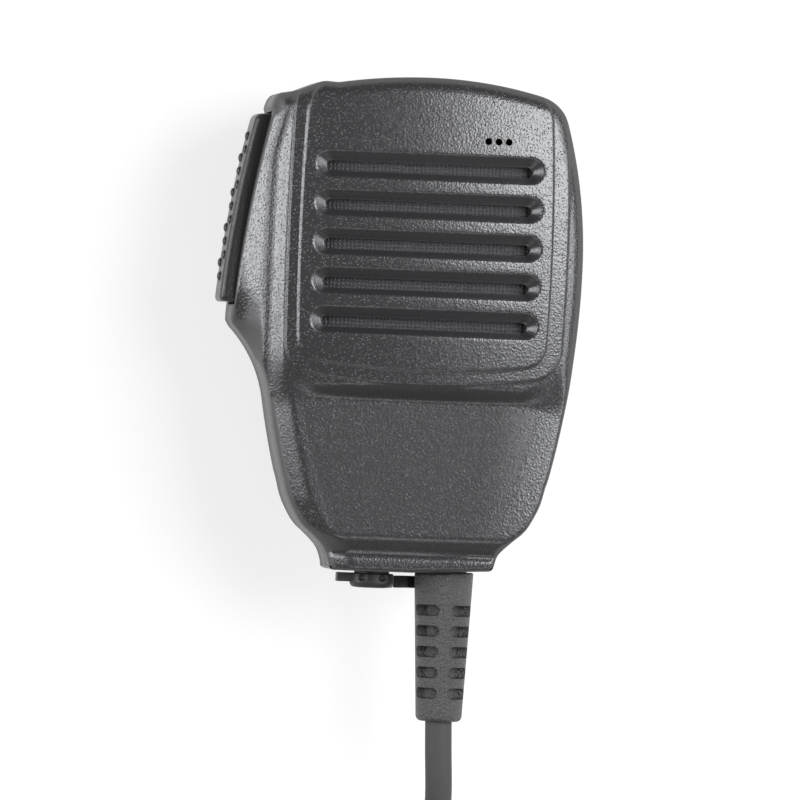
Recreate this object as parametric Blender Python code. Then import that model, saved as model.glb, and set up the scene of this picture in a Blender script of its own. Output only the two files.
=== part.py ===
"""Hand microphone for a portable radio: a moulded case with a louvred speaker grille, a push-to-talk
key in its left side, an earphone jack under a rubber cap, a straight cord with a plug, and a sprung
belt clip that swivels on the back.

Metres. The microphone lies on its clip with the grille up (+Z), its top edge towards +Y and the cord
leaving towards -Y. Everything is modelled in the case's frame, x = 0 on the grille's centre line,
y = 0 near the middle louvre, z = 0 on the flat back, and one empty carries the case frame.
"""
import math

import bmesh
import bpy
import numpy as np
from mathutils import Matrix, Vector

for old in list(bpy.data.objects):
    bpy.data.objects.remove(old, do_unlink=True)

# Clearance between pieces that touch or seat in each other
SEAT = 0.0003

# Case, in plan
CASE_HALF_WIDTH = 0.02536
WAIST_Y = -0.0020
UPPER_SIDE_RADIUS = 0.081
LOWER_SIDE_RADIUS = 0.143
TOP_Y = 0.0267
TOP_RADIUS = 0.071
TOP_CORNER_RADIUS = 0.0062
BOTTOM_Y = -0.0518
BOTTOM_TILT = 0.05
NECK_HALF_WIDTH = 0.0131
CHIN_HEIGHT = 0.0083
CHIN_WIDTH = 0.0054

# Case, in depth
CROWN_Z = 0.0250
CROWN_RADIUS_X = 0.115
CROWN_RADIUS_Y = 0.250
CROWN_Y = 0.0020
PARTING_Z = 0.01135
WALL = 0.0020
BACK_EDGE_RADIUS = 0.0030
TOP_EDGE_RADIUS = 0.0040
SIDE_EDGE_RADIUS = 0.0025
NECK_EDGE_RADIUS = 0.0010
LABEL_Z = 0.0205
STEP_TOP_Y = -0.0219
STEP_LENGTH = 0.0030
SIDE_CHAMFER_WIDTH = 0.0038
SIDE_CHAMFER_DROP = 0.0018
SCOOP_LENGTH = 0.0036
SCOOP_DROP = 0.0020
RIM_HEIGHT = 0.0023

# Raised band and panel on the front
PANEL_STEP = 0.0003
BAND_STEP = 0.0003
PANEL_HALF_WIDTH = 0.01995
PANEL_BOTTOM_Y = -0.0198
PANEL_CORNER_RADIUS = 0.0038
BAND_WIDTH = 0.0026
BAND_CORNER_RADIUS = 0.0052
PANEL_SIDE_RADIUS = 0.40
PANEL_BOTTOM_RADIUS = 0.075
SKIN = 0.0011

# Louvres
SLOT_COUNT = 5
SLOT_PITCH = 0.00615
SLOT_TOP_Y = 0.0125
SLOT_LENGTH = 0.0364
SLOT_HEIGHT = 0.0043
SLOT_DEPTH = 0.0013
SLIT_LENGTH = 0.0328
SLIT_HEIGHT = 0.0017
SLIT_OFFSET = -0.0003

# Microphone holes
MIC_HOLE_X = 0.01065
MIC_HOLE_Y = 0.0169
MIC_HOLE_PITCH = 0.00165
MIC_HOLE_RADIUS = 0.0005

# Push-to-talk housing and key
FLANGE_TOP_X = -0.02475
FLANGE_TOP_Y = 0.0206
TIP_X = -0.0299
TIP_Y = -0.0131
FLANGE_ARC_RADIUS = 0.20
FLANGE_ROOT_Z = 0.0196
FLANGE_DROP = 0.0021
FAIRING_FOOT_Y = -0.0250
FAIRING_DROP = 0.0045
EAR_HEIGHT = 0.0022
KEY_TOP_Y = 0.0201
KEY_BOTTOM_Y = -0.0099
KEY_LOW_Z = 0.0063
KEY_HIGH_Z = 0.0160
KEY_PROUD = 0.00235
KEY_DEPTH = 0.0050
KEY_EDGE_RADIUS = 0.0010
KEY_HOOK_REACH = 0.0016
KEY_HOOK_HALF = 0.0030
KEY_HOOK_THICKNESS = 0.0009
DOT_RADIUS = 0.00078
DOT_HEIGHT = 0.00048
DOT_PITCH = 0.0056
DOT_TOP_Y = 0.0165
DOT_COUNT = 5
PIVOT_X = -0.0220
PIVOT_Y = 0.0180
PIVOT_PIN_RADIUS = 0.00075
PIVOT_EAR_RADIUS = 0.0019
PIVOT_PIN_LOW_Z = 0.0046
PIVOT_PIN_HIGH_Z = 0.0171
SWITCH_Y = 0.0040
SWITCH_FACE_X = -0.0190
SWITCH_LENGTH = 0.0050
SWITCH_WIDTH = 0.0058
SWITCH_HEIGHT = 0.0038
PLUNGER_RADIUS = 0.0012
PLUNGER_PROUD = 0.0020

# Case screws and the circuit board
SCREW_SHANK_RADIUS = 0.0011
SCREW_HEAD_RADIUS = 0.0023
SCREW_HEAD_HEIGHT = 0.0014
SCREW_LENGTH = 0.0150
BOSS_RADIUS = 0.0032
SCREW_PLACES = ((-0.0165, 0.0185), (0.0180, 0.0172), (-0.0148, -0.0398), (0.0152, -0.0395))
BOARD_LOW_Z = 0.0064
BOARD_THICKNESS = 0.0016
BOARD_HALF_WIDTH = 0.0185
BOARD_LOW_Y = -0.0330
BOARD_SHOULDER_Y = 0.0125
BOARD_TOP_Y = 0.0190
BOARD_HEAD_LEFT_X = -0.0125
BOARD_HEAD_RIGHT_X = 0.0140
BOARD_SCREW_PLACES = ((-0.0150, -0.0285), (0.0150, -0.0285))
POST_PLACES = ((-0.0165, 0.0090), (0.0165, 0.0090))
POST_RADIUS = 0.0022

# Loudspeaker, microphone capsule
SPEAKER_RADIUS = 0.0180
SPEAKER_Y = -0.0025
SPEAKER_TOP_Z = 0.0192
SPEAKER_FLANGE = 0.0014
SPEAKER_FRAME_DEPTH = 0.0052
SPEAKER_RIM_WIDTH = 0.0026
SPEAKER_THROAT_RADIUS = 0.0095
CONE_ROLL_WIDTH = 0.0032
CONE_DEPTH = 0.0034
CONE_THICKNESS = 0.0004
DUST_CAP_RADIUS = 0.0062
DUST_CAP_RISE = 0.0016
MAGNET_RADIUS = 0.0085
MAGNET_HEIGHT = 0.0032
GASKET_HEIGHT = 0.0006
GASKET_WIDTH = 0.0022
CLOTH_HALF_WIDTH = 0.0172
CLOTH_THICKNESS = 0.0004
RIB_WALL = 0.0008
RIB_HALF_LENGTH = 0.0035
CAPSULE_RADIUS = 0.0020
CAPSULE_HEIGHT = 0.0015
HOLDER_WALL = 0.0004

# Earphone jack and its cap
JACK_X = -0.0056
JACK_BORE_RADIUS = 0.0018
JACK_BUSH_RADIUS = 0.0030
JACK_BODY_WIDTH = 0.0068
JACK_BODY_LENGTH = 0.0096
JACK_BODY_HEIGHT = 0.0056
JACK_RECESS = 0.0010
CAP_RADIUS = 0.0035
CAP_HEIGHT = 0.0023
CAP_GAP = 0.00042
CAP_PLUG_LENGTH = 0.0008
CAP_TAB_LENGTH = 0.0021
CAP_TAB_WIDTH = 0.0030
CAP_TAB_THICKNESS = 0.0014
CAP_HINGE_X = -0.0019
STRAP_OFFSET = 0.0028
STRAP_WIDTH = 0.0023
STRAP_THICKNESS = 0.0019
STRAP_ANCHOR_X = 0.0030
STRAP_ANCHOR_Z = 0.0050
STRAP_STEM_RADIUS = 0.0010

# Strain relief
BOOT_X = 0.0060
BOOT_TOP_RADIUS = 0.0047
BOOT_END_RADIUS = 0.00365
BOOT_LENGTH = 0.0233
BOOT_NECK_RADIUS = 0.0036
BOOT_COLLAR_RADIUS = 0.0046
BOOT_COLLAR_LENGTH = 0.0018
BOOT_ROWS = 5
BOOT_ROW_TOP = 0.0056
BOOT_ROW_PITCH = 0.0033
BOOT_POCKET_HEIGHT = 0.00165
BOOT_RIB_DEG = 26.0
BOOT_CORE_RADIUS = 0.0026

# Cord, its coil and its plug
CORD_RADIUS = 0.00215
CORD_TAIL_LENGTH = 0.0060
FERRULE_LENGTH = 0.0040
FERRULE_WALL = 0.0007
COIL_MEAN_RADIUS = 0.0235
COIL_BUNDLE = 0.0132
COIL_X = -0.0140
COIL_Y = -0.1300
CORD_MEETS_COIL = 0.0162
PLUG_GRIP_RADIUS = 0.0042
PLUG_GRIP_LENGTH = 0.0180
PLUG_PIN_RADIUS = 0.00175
PLUG_PIN_LENGTH = 0.0140
PLUG_RELIEF_LENGTH = 0.0120

# Belt clip
CLIP_Y = -0.0060
CLIP_HALF_WIDTH = 0.0080
CLIP_PLATE_TOP = 0.0180
CLIP_PLATE_BOTTOM = -0.0215
CLIP_PLATE_THICKNESS = 0.0020
CLIP_GAP = 0.0053
CLIP_LEVER_THICKNESS = 0.0018
CLIP_LEVER_TOP = 0.0250
CLIP_PIVOT_Y = 0.0140
CLIP_PIN_RADIUS = 0.0010
CLIP_EAR_THICKNESS = 0.0015
CLIP_JAW_LENGTH = 0.0028
WASHER_THICKNESS = 0.0006
WASHER_RADIUS = 0.0070
SWIVEL_RADIUS = 0.0020
SWIVEL_HEAD_RADIUS = 0.0034
SWIVEL_HEAD_HEIGHT = 0.0014
SPRING_WIRE_RADIUS = 0.0004
SPRING_COIL_RADIUS = 0.0019
SPRING_TURNS = 3
SPRING_LEG_LENGTH = 0.0060

# What follows from the sizes above
CLIP_PLATE_HIGH_Z = -(WASHER_THICKNESS + 2 * SEAT)
CLIP_PLATE_LOW_Z = CLIP_PLATE_HIGH_Z - CLIP_PLATE_THICKNESS
CLIP_LEVER_HIGH_Z = CLIP_PLATE_LOW_Z - CLIP_GAP
CLIP_LEVER_LOW_Z = CLIP_LEVER_HIGH_Z - CLIP_LEVER_THICKNESS
AXIS_Z = PARTING_Z - SEAT / 2
BOOT_TOP_Y = BOTTOM_Y - SEAT
BOOT_END_Y = BOOT_TOP_Y - BOOT_LENGTH
LOW_ROW_Y = BOTTOM_Y + 0.0009
HIGH_ROW_Y = 0.0225


def circle_point(centre, radius, angle):
    return centre[0] + radius * math.cos(angle), centre[1] + radius * math.sin(angle)


def arc(centre, radius, start, end, count):
    """Points along a circle's arc, from one angle to another."""
    return [circle_point(centre, radius, a) for a in np.linspace(start, end, count)]


def side_arc(y):
    """The case's half width where its side is one of the two long arcs that meet at the waist."""
    radius = np.where(np.asarray(y) > WAIST_Y, UPPER_SIDE_RADIUS, LOWER_SIDE_RADIUS)
    return CASE_HALF_WIDTH - radius + np.sqrt(radius**2 - (np.asarray(y) - WAIST_Y) ** 2)


def smooth_step(value, low, high):
    t = np.clip((value - low) / (high - low), 0.0, 1.0)
    return t * t * (3 - 2 * t)


def rounding(distance, radius):
    """How far a rounded edge has dropped at this distance inside it."""
    inside = np.clip(radius - distance, 0.0, radius)
    return radius - np.sqrt(np.maximum(radius**2 - inside**2, 0.0))


def smooth_curve(points, count=8):
    """A Catmull-Rom curve through a few points, as a list of points."""
    ends = [np.array(p, float) for p in points]
    ends = [2 * ends[0] - ends[1]] + ends + [2 * ends[-1] - ends[-2]]
    found = []
    for a, b, c, d in zip(ends, ends[1:], ends[2:], ends[3:]):
        for t in np.arange(count) / count:
            straight = 2 * b + (c - a) * t
            bent = (2 * a - 5 * b + 4 * c - d) * t**2 + (3 * b - a - 3 * c + d) * t**3
            found.append(0.5 * (straight + bent))
    return found + [ends[-2]]


def chin():
    """The right edge from the neck's corner up to where the long side arc takes over."""
    heights = (0.0010, 0.0027, 0.0038, 0.0054, 0.0068, CHIN_HEIGHT)
    shares = (-0.02, 0.08, 0.20, 0.49, 0.79, 1.0)
    points = [(NECK_HALF_WIDTH + CHIN_WIDTH * s, BOTTOM_Y + h) for h, s in zip(heights, shares)]
    above = BOTTOM_Y + CHIN_HEIGHT + np.array([0.0030, 0.0060])
    points += [(float(side_arc(y)) - 0.0001, float(y)) for y in above]
    return smooth_curve(points)


def top_corner():
    """Centre of the circle that rounds the side arc into the top arc."""
    side, top = Vector((CASE_HALF_WIDTH - UPPER_SIDE_RADIUS, WAIST_Y)), Vector((0, TOP_Y - TOP_RADIUS))
    a, b = UPPER_SIDE_RADIUS - TOP_CORNER_RADIUS, TOP_RADIUS - TOP_CORNER_RADIUS
    between = top - side
    along = (a * a - b * b + between.length_squared) / (2 * between.length)
    across = math.sqrt(a * a - along * along)
    unit = between.normalized()
    return side + unit * along + Vector((-unit.y, unit.x)) * across


def right_edge():
    """The case's right edge from the neck up to the middle of the top."""
    centre = top_corner()
    side = Vector((CASE_HALF_WIDTH - UPPER_SIDE_RADIUS, WAIST_Y))
    top = Vector((0, TOP_Y - TOP_RADIUS))
    low, high = math.atan2(*reversed(centre - side)), math.atan2(*reversed(centre - top))
    start = BOTTOM_Y + CHIN_HEIGHT + 0.0070
    meet = centre.y + TOP_CORNER_RADIUS * math.sin(low)
    points = chin()
    points += [(float(side_arc(y)), float(y)) for y in np.linspace(start, meet, 40)]
    points += arc(centre, TOP_CORNER_RADIUS, low, high, 14)[1:]
    points += arc(top, TOP_RADIUS, high, math.pi / 2, 20)[1:]
    return np.array([tuple(p)[:2] for p in points])


def fairing():
    """Centre and radius of the hollow arc that runs from the lower side out to the housing's tip."""
    foot = Vector((-float(side_arc(FAIRING_FOOT_Y)), FAIRING_FOOT_Y))
    slope = (WAIST_Y - FAIRING_FOOT_Y) / math.sqrt(LOWER_SIDE_RADIUS**2 - (FAIRING_FOOT_Y - WAIST_Y) ** 2)
    outward = Vector((-1, -slope)).normalized()
    reach = Vector((TIP_X, TIP_Y)) - foot
    return foot, outward, reach.length_squared / (2 * reach.dot(outward))


def flange_centre():
    top, tip = Vector((FLANGE_TOP_X, FLANGE_TOP_Y)), Vector((TIP_X, TIP_Y))
    chord = tip - top
    inward = Vector((-chord.y, chord.x)).normalized()
    return (top + tip) / 2 + inward * math.sqrt(FLANGE_ARC_RADIUS**2 - chord.length_squared / 4)


def left_edge():
    """The case's left edge: lower side, hollow fairing, key housing with its ear, and the top."""
    foot, outward, radius = fairing()
    points = [(-x, y) for x, y in chin()]
    start = BOTTOM_Y + CHIN_HEIGHT + 0.0070
    points += [(-float(side_arc(y)), float(y)) for y in np.linspace(start, FAIRING_FOOT_Y, 16)]
    centre = foot + outward * radius
    low = math.atan2(*reversed(foot - centre))
    high = math.atan2(TIP_Y - centre.y, TIP_X - centre.x)
    points += arc(centre, radius, low, high - 0.02, 14)[1:]
    middle = flange_centre()
    low = math.atan2(TIP_Y - middle.y, TIP_X - middle.x) % (2 * math.pi)
    high = math.atan2(FLANGE_TOP_Y - middle.y, FLANGE_TOP_X - middle.x) % (2 * math.pi)
    points += arc(middle, FLANGE_ARC_RADIUS, low - 0.0025, high, 24)
    ear_y = FLANGE_TOP_Y + EAR_HEIGHT
    shoulder = TOP_Y - TOP_RADIUS
    ear = [
        (FLANGE_TOP_X - 0.0002, FLANGE_TOP_Y + 0.25 * EAR_HEIGHT),
        (FLANGE_TOP_X - 0.0001, FLANGE_TOP_Y + 0.55 * EAR_HEIGHT),
        (FLANGE_TOP_X + 0.0003, ear_y - 0.0003),
        (FLANGE_TOP_X + 0.0008, ear_y + 0.0002),
        (FLANGE_TOP_X + 0.0018, ear_y + 0.0004),
        (FLANGE_TOP_X + 0.0037, ear_y + 0.0009),
        (FLANGE_TOP_X + 0.0056, ear_y + 0.0017),
        (FLANGE_TOP_X + 0.0075, ear_y + 0.0022),
        (FLANGE_TOP_X + 0.0100, shoulder + math.sqrt(TOP_RADIUS**2 - (FLANGE_TOP_X + 0.0100) ** 2)),
    ]
    points += smooth_curve(ear, 5)
    angle = math.atan2(ear[-1][1] - shoulder, ear[-1][0])
    points += arc((0, shoulder), TOP_RADIUS, angle, math.pi / 2, 12)[1:]
    return np.array([tuple(p)[:2] for p in points])


RIGHT_EDGE = right_edge()
LEFT_EDGE = left_edge()
LEFT_LOW_Y = np.linspace(-0.040, FAIRING_FOOT_Y, 30)


def right_side(y):
    side = RIGHT_EDGE[: np.argmax(RIGHT_EDGE[:, 1] > HIGH_ROW_Y) + 1]
    return np.interp(y, side[:, 1], side[:, 0])


def left_side(y):
    side = LEFT_EDGE[: np.argmax(LEFT_EDGE[:, 1] > HIGH_ROW_Y) + 1]
    return np.interp(y, side[:, 1], side[:, 0])


def top_edge(x):
    right = RIGHT_EDGE[np.argmax(RIGHT_EDGE[:, 1] > HIGH_ROW_Y) - 1 :]
    left = LEFT_EDGE[np.argmax(LEFT_EDGE[:, 1] > HIGH_ROW_Y) - 1 :]
    across = np.concatenate([left, right[::-1][1:]])
    return np.interp(x, across[:, 0], across[:, 1])


def bottom_edge(x):
    """The neck's lower edge, a little higher towards the right, with a small turn up at its corners."""
    corner = rounding(NECK_HALF_WIDTH - np.abs(x), NECK_EDGE_RADIUS)
    return BOTTOM_Y + BOTTOM_TILT * np.clip(x, 0, None) + 0.8 * corner


def neck_inner_y(x):
    """Where the inside of the neck's end wall lies."""
    return float(bottom_edge(x)) + WALL


def distance_to_edge(x, y):
    """Distance to the case's top and right edges and its lower left side, without the key housing."""
    lower_left = np.stack([-side_arc(LEFT_LOW_Y), LEFT_LOW_Y], axis=1)
    top_left = LEFT_EDGE[LEFT_EDGE[:, 1] > HIGH_ROW_Y - 0.001]
    across = np.linspace(-NECK_HALF_WIDTH, NECK_HALF_WIDTH, 21)
    neck = np.stack([across, bottom_edge(across)], axis=1)
    edge = np.concatenate([neck, RIGHT_EDGE, top_left, lower_left, LEFT_EDGE[LEFT_EDGE[:, 1] < -0.040]])
    gaps = np.hypot(np.asarray(x)[..., None] - edge[:, 0], np.asarray(y)[..., None] - edge[:, 1])
    return gaps.min(axis=-1)


def crown(x, y):
    """The domed front, level with the raised panel."""
    return CROWN_Z - x**2 / (2 * CROWN_RADIUS_X) - (y - CROWN_Y) ** 2 / (2 * CROWN_RADIUS_Y)


def edge_radius(x, y):
    upper = SIDE_EDGE_RADIUS + (TOP_EDGE_RADIUS - SIDE_EDGE_RADIUS) * smooth_step(y, 0.015, 0.023)
    return NECK_EDGE_RADIUS + (upper - NECK_EDGE_RADIUS) * smooth_step(y, -0.026, -0.016)


def upper_front(x, y):
    """The grille half of the front: domed, rounded at its edges, sloping to the housing's flange."""
    level = crown(x, y) - PANEL_STEP - BAND_STEP
    domed = level - rounding(distance_to_edge(x, y), edge_radius(x, y))
    body = -side_arc(y)
    strip = level - 1.05 * np.clip(body + 0.0029 - x, 0, None)
    reach = np.clip((body - x) / np.maximum(body - left_side(y), 1e-4), 0, 1)
    flange = FLANGE_ROOT_Z - FLANGE_DROP * reach**2
    fairing_drop = FAIRING_DROP * smooth_step(-y, 0.0125, 0.0165) * smooth_step(y, FAIRING_FOOT_Y, -0.017)
    left = np.maximum(strip, flange - fairing_drop * reach)
    blend = smooth_step(-x, 0.0190, 0.0205)
    return domed + (np.minimum(left, domed + 0.02 * (y < HIGH_ROW_Y - 0.001)) - domed) * blend


def lower_front(x, y):
    """The flat lower half, chamfered to its sides, with a scoop above the neck's rim."""
    scoop_y = BOTTOM_Y + RIM_HEIGHT + SCOOP_LENGTH
    scoop = SCOOP_DROP * smooth_step(scoop_y - y, 0, SCOOP_LENGTH)
    rim = 0.0005 * smooth_step(BOTTOM_Y + RIM_HEIGHT + 0.0006 - y, 0, 0.0008)
    side = np.where(x > 0, right_side(y), side_arc(y))
    side = np.where(y < BOTTOM_Y + CHIN_HEIGHT + 0.002, right_side(y), side)
    width = np.minimum(SIDE_CHAMFER_WIDTH, 0.5 * side)
    chamfer = SIDE_CHAMFER_DROP * smooth_step(np.abs(x), side - width, side + 0.25 * width) / 0.8
    return LABEL_Z - scoop + rim - chamfer - rounding(distance_to_edge(x, y), NECK_EDGE_RADIUS)


def front_height(x, y):
    """Height of the front above the flat back, without the raised band and panel."""
    aside = smooth_step(np.abs(x), 0.016, 0.024)
    high = STEP_TOP_Y + 0.0045 * aside
    low = STEP_TOP_Y - STEP_LENGTH - 0.0020 * aside
    share = smooth_step(y, low, high)
    return lower_front(x, y) + (upper_front(x, y) - lower_front(x, y)) * share


def back_height(x, y):
    """Depth of the rounded back edge."""
    edge = np.concatenate([LEFT_EDGE, RIGHT_EDGE[::-1]])
    gaps = np.hypot(np.asarray(x)[..., None] - edge[:, 0], np.asarray(y)[..., None] - edge[:, 1])
    return rounding(np.minimum(gaps.min(axis=-1), y - bottom_edge(x)), BACK_EDGE_RADIUS)


def plan_grid(rows, left_offsets, right_offsets, between, inset=0.0):
    """Plan points in rows from the left side to the right side, bent to the top and bottom edges."""
    rows = np.asarray(rows)[:, None]
    left, right = left_side(rows) + inset, right_side(rows) - inset
    inner_left, inner_right = left + left_offsets[-1], right - right_offsets[-1]
    middle = inner_left + (inner_right - inner_left) * np.linspace(0, 1, between + 2)[1:-1]
    x = np.concatenate([left + left_offsets, middle, right - np.array(right_offsets)[::-1]], axis=1)
    low, high = LOW_ROW_Y + inset, HIGH_ROW_Y - inset
    rise = (top_edge(np.clip(x, left_side(HIGH_ROW_Y), right_side(HIGH_ROW_Y))) - HIGH_ROW_Y)
    fall = bottom_edge(np.clip(x, -NECK_HALF_WIDTH, NECK_HALF_WIDTH)) - LOW_ROW_Y
    y = rows + rise * smooth_step(rows, high - 0.012, high) + fall * smooth_step(-rows, -low - 0.004, -low)
    return x, y


def ring_of(grid):
    """The outer vertices of a grid of vertices, in order."""
    return grid[0][:-1] + [row[-1] for row in grid[:-1]] + grid[-1][:0:-1] + [row[0] for row in grid[:0:-1]]


def add_grid(bm, x, y, z):
    grid = [[bm.verts.new(p) for p in zip(*row)] for row in zip(x, y, z)]
    for low, high in zip(grid, grid[1:]):
        for i in range(len(low) - 1):
            bm.faces.new((low[i], low[i + 1], high[i + 1], high[i]))
    return grid


def bridge(bm, first, second):
    for i in range(len(first)):
        j = (i + 1) % len(first)
        bm.faces.new((first[i], first[j], second[j], second[i]))


def block_under(x, y, z, base_z):
    """A closed block between a height grid and a level plane."""
    bm = bmesh.new()
    rim = ring_of(add_grid(bm, x, y, z))
    base = [bm.verts.new((v.co.x, v.co.y, base_z)) for v in rim]
    bridge(bm, rim, base)
    bm.faces.new(base)
    return bm


def sheet(x, y, z, thickness):
    """A closed sheet: a height grid and its copy one thickness lower."""
    bm = bmesh.new()
    top = add_grid(bm, x, y, z)
    under = add_grid(bm, x, y, np.asarray(z) - thickness)
    bridge(bm, ring_of(top), ring_of(under))
    return bm


def loft(rings):
    """A closed body through rings of points; a ring of one point is a tip."""
    bm = bmesh.new()
    made = [[bm.verts.new(p) for p in ring] for ring in rings]
    for a, b in zip(made, made[1:]):
        if len(a) == 1 or len(b) == 1:
            tip, ring = (a[0], b) if len(a) == 1 else (b[0], a)
            for i in range(len(ring)):
                bm.faces.new((tip, ring[i], ring[(i + 1) % len(ring)]))
        else:
            bridge(bm, a, b)
    for end in (made[0], made[-1]):
        if len(end) > 2:
            bm.faces.new(end)
    return bm


AXIS_TURNS = {
    "Z": Matrix.Identity(4),
    "Y": Matrix.Rotation(-math.pi / 2, 4, "X"),
    "X": Matrix.Rotation(math.pi / 2, 4, "Y"),
}


def turned(profile, axis="Z", at=(0, 0, 0), segments=24, closed=False):
    """A body of revolution from (radius, height) pairs; closed joins the last pair to the first."""
    bm = bmesh.new()
    rings = []
    for radius, height in profile:
        count = 1 if radius == 0 else segments
        angles = [2 * math.pi * i / count for i in range(count)]
        rings.append([bm.verts.new((radius * math.cos(a), radius * math.sin(a), height)) for a in angles])
    pairs = list(zip(rings, rings[1:])) + ([(rings[-1], rings[0])] if closed else [])
    for a, b in pairs:
        if len(a) == 1 and len(b) == 1:
            continue
        if len(a) == 1 or len(b) == 1:
            tip, ring = (a[0], b) if len(a) == 1 else (b[0], a)
            for i in range(len(ring)):
                bm.faces.new((tip, ring[i], ring[(i + 1) % len(ring)]))
        else:
            bridge(bm, a, b)
    for end in () if closed else (rings[0], rings[-1]):
        if len(end) > 2:
            bm.faces.new(end)
    bmesh.ops.transform(bm, matrix=Matrix.Translation(at) @ AXIS_TURNS[axis], verts=bm.verts)
    return bm


def prism(outline, low, high, axis="Z"):
    """A closed prism on an outline; the outline's two coordinates are the other two axes in order."""
    def point(a, b, c):
        return {"Z": (a, b, c), "Y": (a, c, b), "X": (c, a, b)}[axis]

    return loft([[point(a, b, c) for a, b in outline] for c in (low, high)])


def box(low, high):
    (x0, y0, z0), (x1, y1, z1) = low, high
    return prism([(x0, y0), (x1, y0), (x1, y1), (x0, y1)], z0, z1)


def rounded(width, height, radius, corners=3, centre=(0, 0)):
    """An outline of a rectangle with rounded corners."""
    points = []
    for k, (sx, sy) in enumerate(((1, 1), (-1, 1), (-1, -1), (1, -1))):
        middle = (centre[0] + sx * (width / 2 - radius), centre[1] + sy * (height / 2 - radius))
        points += arc(middle, radius, k * math.pi / 2, (k + 1) * math.pi / 2, corners + 1)
    return points


def merged(*bodies):
    """One mesh holding several closed bodies that don't touch."""
    whole = bmesh.new()
    for body in bodies:
        mesh = bpy.data.meshes.new("part")
        bmesh.ops.recalc_face_normals(body, faces=body.faces)
        body.to_mesh(mesh)
        body.free()
        whole.from_mesh(mesh)
        bpy.data.meshes.remove(mesh)
    return whole


def material(name, colour, roughness, metallic=0.0):
    made = bpy.data.materials.new(name)
    made.use_nodes = True
    shader = made.node_tree.nodes["Principled BSDF"]
    shader.inputs["Base Color"].default_value = (*colour, 1)
    shader.inputs["Roughness"].default_value = roughness
    shader.inputs["Metallic"].default_value = metallic
    return made


def add(name, bm, look, origin=(0, 0, 0), smooth_deg=35):
    """A named object in the case frame, with its origin on a joint's axis where it has one."""
    bmesh.ops.recalc_face_normals(bm, faces=bm.faces)
    bmesh.ops.translate(bm, vec=-Vector(origin), verts=bm.verts)
    mesh = bpy.data.meshes.new(name)
    bm.to_mesh(mesh)
    bm.free()
    mesh.shade_smooth()
    mesh.set_sharp_from_angle(angle=math.radians(smooth_deg))
    mesh.materials.append(look)
    obj = bpy.data.objects.new(name, mesh)
    bpy.context.scene.collection.objects.link(obj)
    obj.location = origin
    obj.parent = HANDSET
    return obj


def add_tube(name, points, radius, resolution, look):
    """A named round wire or cord through a few points, with closed ends."""
    curve = bpy.data.curves.new(name, "CURVE")
    curve.dimensions = "3D"
    curve.bevel_depth = radius
    curve.bevel_resolution = resolution
    curve.use_fill_caps = True
    line = curve.splines.new("POLY")
    line.points.add(len(points) - 1)
    for point, place in zip(line.points, points):
        point.co = (*place, 1)
    curve.materials.append(look)
    tube = bpy.data.objects.new(name, curve)
    bpy.context.scene.collection.objects.link(tube)
    tube.parent = HANDSET


def tool(name, bm):
    """A helper shape for a Boolean, hidden from the render."""
    obj = add(name, bm, HELPER_LOOK)
    obj.hide_render = True
    obj.display_type = "WIRE"
    return obj


def boolean(obj, operation, bm, name):
    modifier = obj.modifiers.new(name, "BOOLEAN")
    modifier.operation = operation
    modifier.solver = "EXACT"
    modifier.object = tool(f"{obj.name}.{name}", bm)


# Case shells

NECK_ROWS = LOW_ROW_Y + np.array([0, 0.0004, 0.0009, 0.0014, 0.0020, 0.0028, 0.0038, 0.0050, 0.0066, 0.0088])
UPPER_ROWS = np.concatenate(
    [
        [TIP_Y + 0.0008, TIP_Y + 0.0028],
        np.linspace(-0.0070, 0.0150, 6),
        HIGH_ROW_Y - np.array([0.0054, 0.0037, 0.0024, 0.0014, 0.0007, 0.00025, 0]),
    ]
)
ROWS = np.concatenate(
    [
        NECK_ROWS,
        np.linspace(BOTTOM_Y + 0.0125, STEP_TOP_Y - STEP_LENGTH - 0.0012, 4),
        STEP_TOP_Y - STEP_LENGTH * np.array([1.0, 0.75, 0.5, 0.25, 0.0]),
        [-0.0195, -0.0172, -0.0155, TIP_Y - 0.0010, TIP_Y],
        UPPER_ROWS,
    ]
)
BACK_ROWS = np.concatenate(
    [
        NECK_ROWS[[0, 2, 4, 6, 8, 9]],
        [-0.0360, -0.0300, -0.0250, -0.0210, -0.0172, -0.0155, TIP_Y - 0.0010],
        UPPER_ROWS,
    ]
)
LEFT_OFFSETS = [0, 0.0003, 0.0009, 0.0018, 0.0029, 0.0042, 0.0056, 0.0072]
RIGHT_OFFSETS = [0, 0.00012, 0.0005, 0.0011, 0.0018, 0.0026, 0.0040]
COARSE_ROWS = np.concatenate(
    [
        LOW_ROW_Y + WALL + np.array([0, 0.0020, 0.0050, 0.0110, 0.0180]),
        [STEP_TOP_Y - STEP_LENGTH - 0.0016, STEP_TOP_Y - 0.0012, -0.0180, -0.0140, -0.0115],
        np.linspace(-0.0070, 0.0150, 5),
        [HIGH_ROW_Y - WALL - 0.0028, HIGH_ROW_Y - WALL],
    ]
)


def half_width_at(y, half_width, corner, corner_y):
    """Half width of the panel or the band: nearly straight sides that draw in over the top."""
    straight = half_width - y**2 / (2 * PANEL_SIDE_RADIUS)
    drawn_in = 0.0016 * smooth_step(y, 0.0140, 0.0240)
    return straight - drawn_in - rounding(np.clip(y - corner_y, 0, None), corner)


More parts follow.
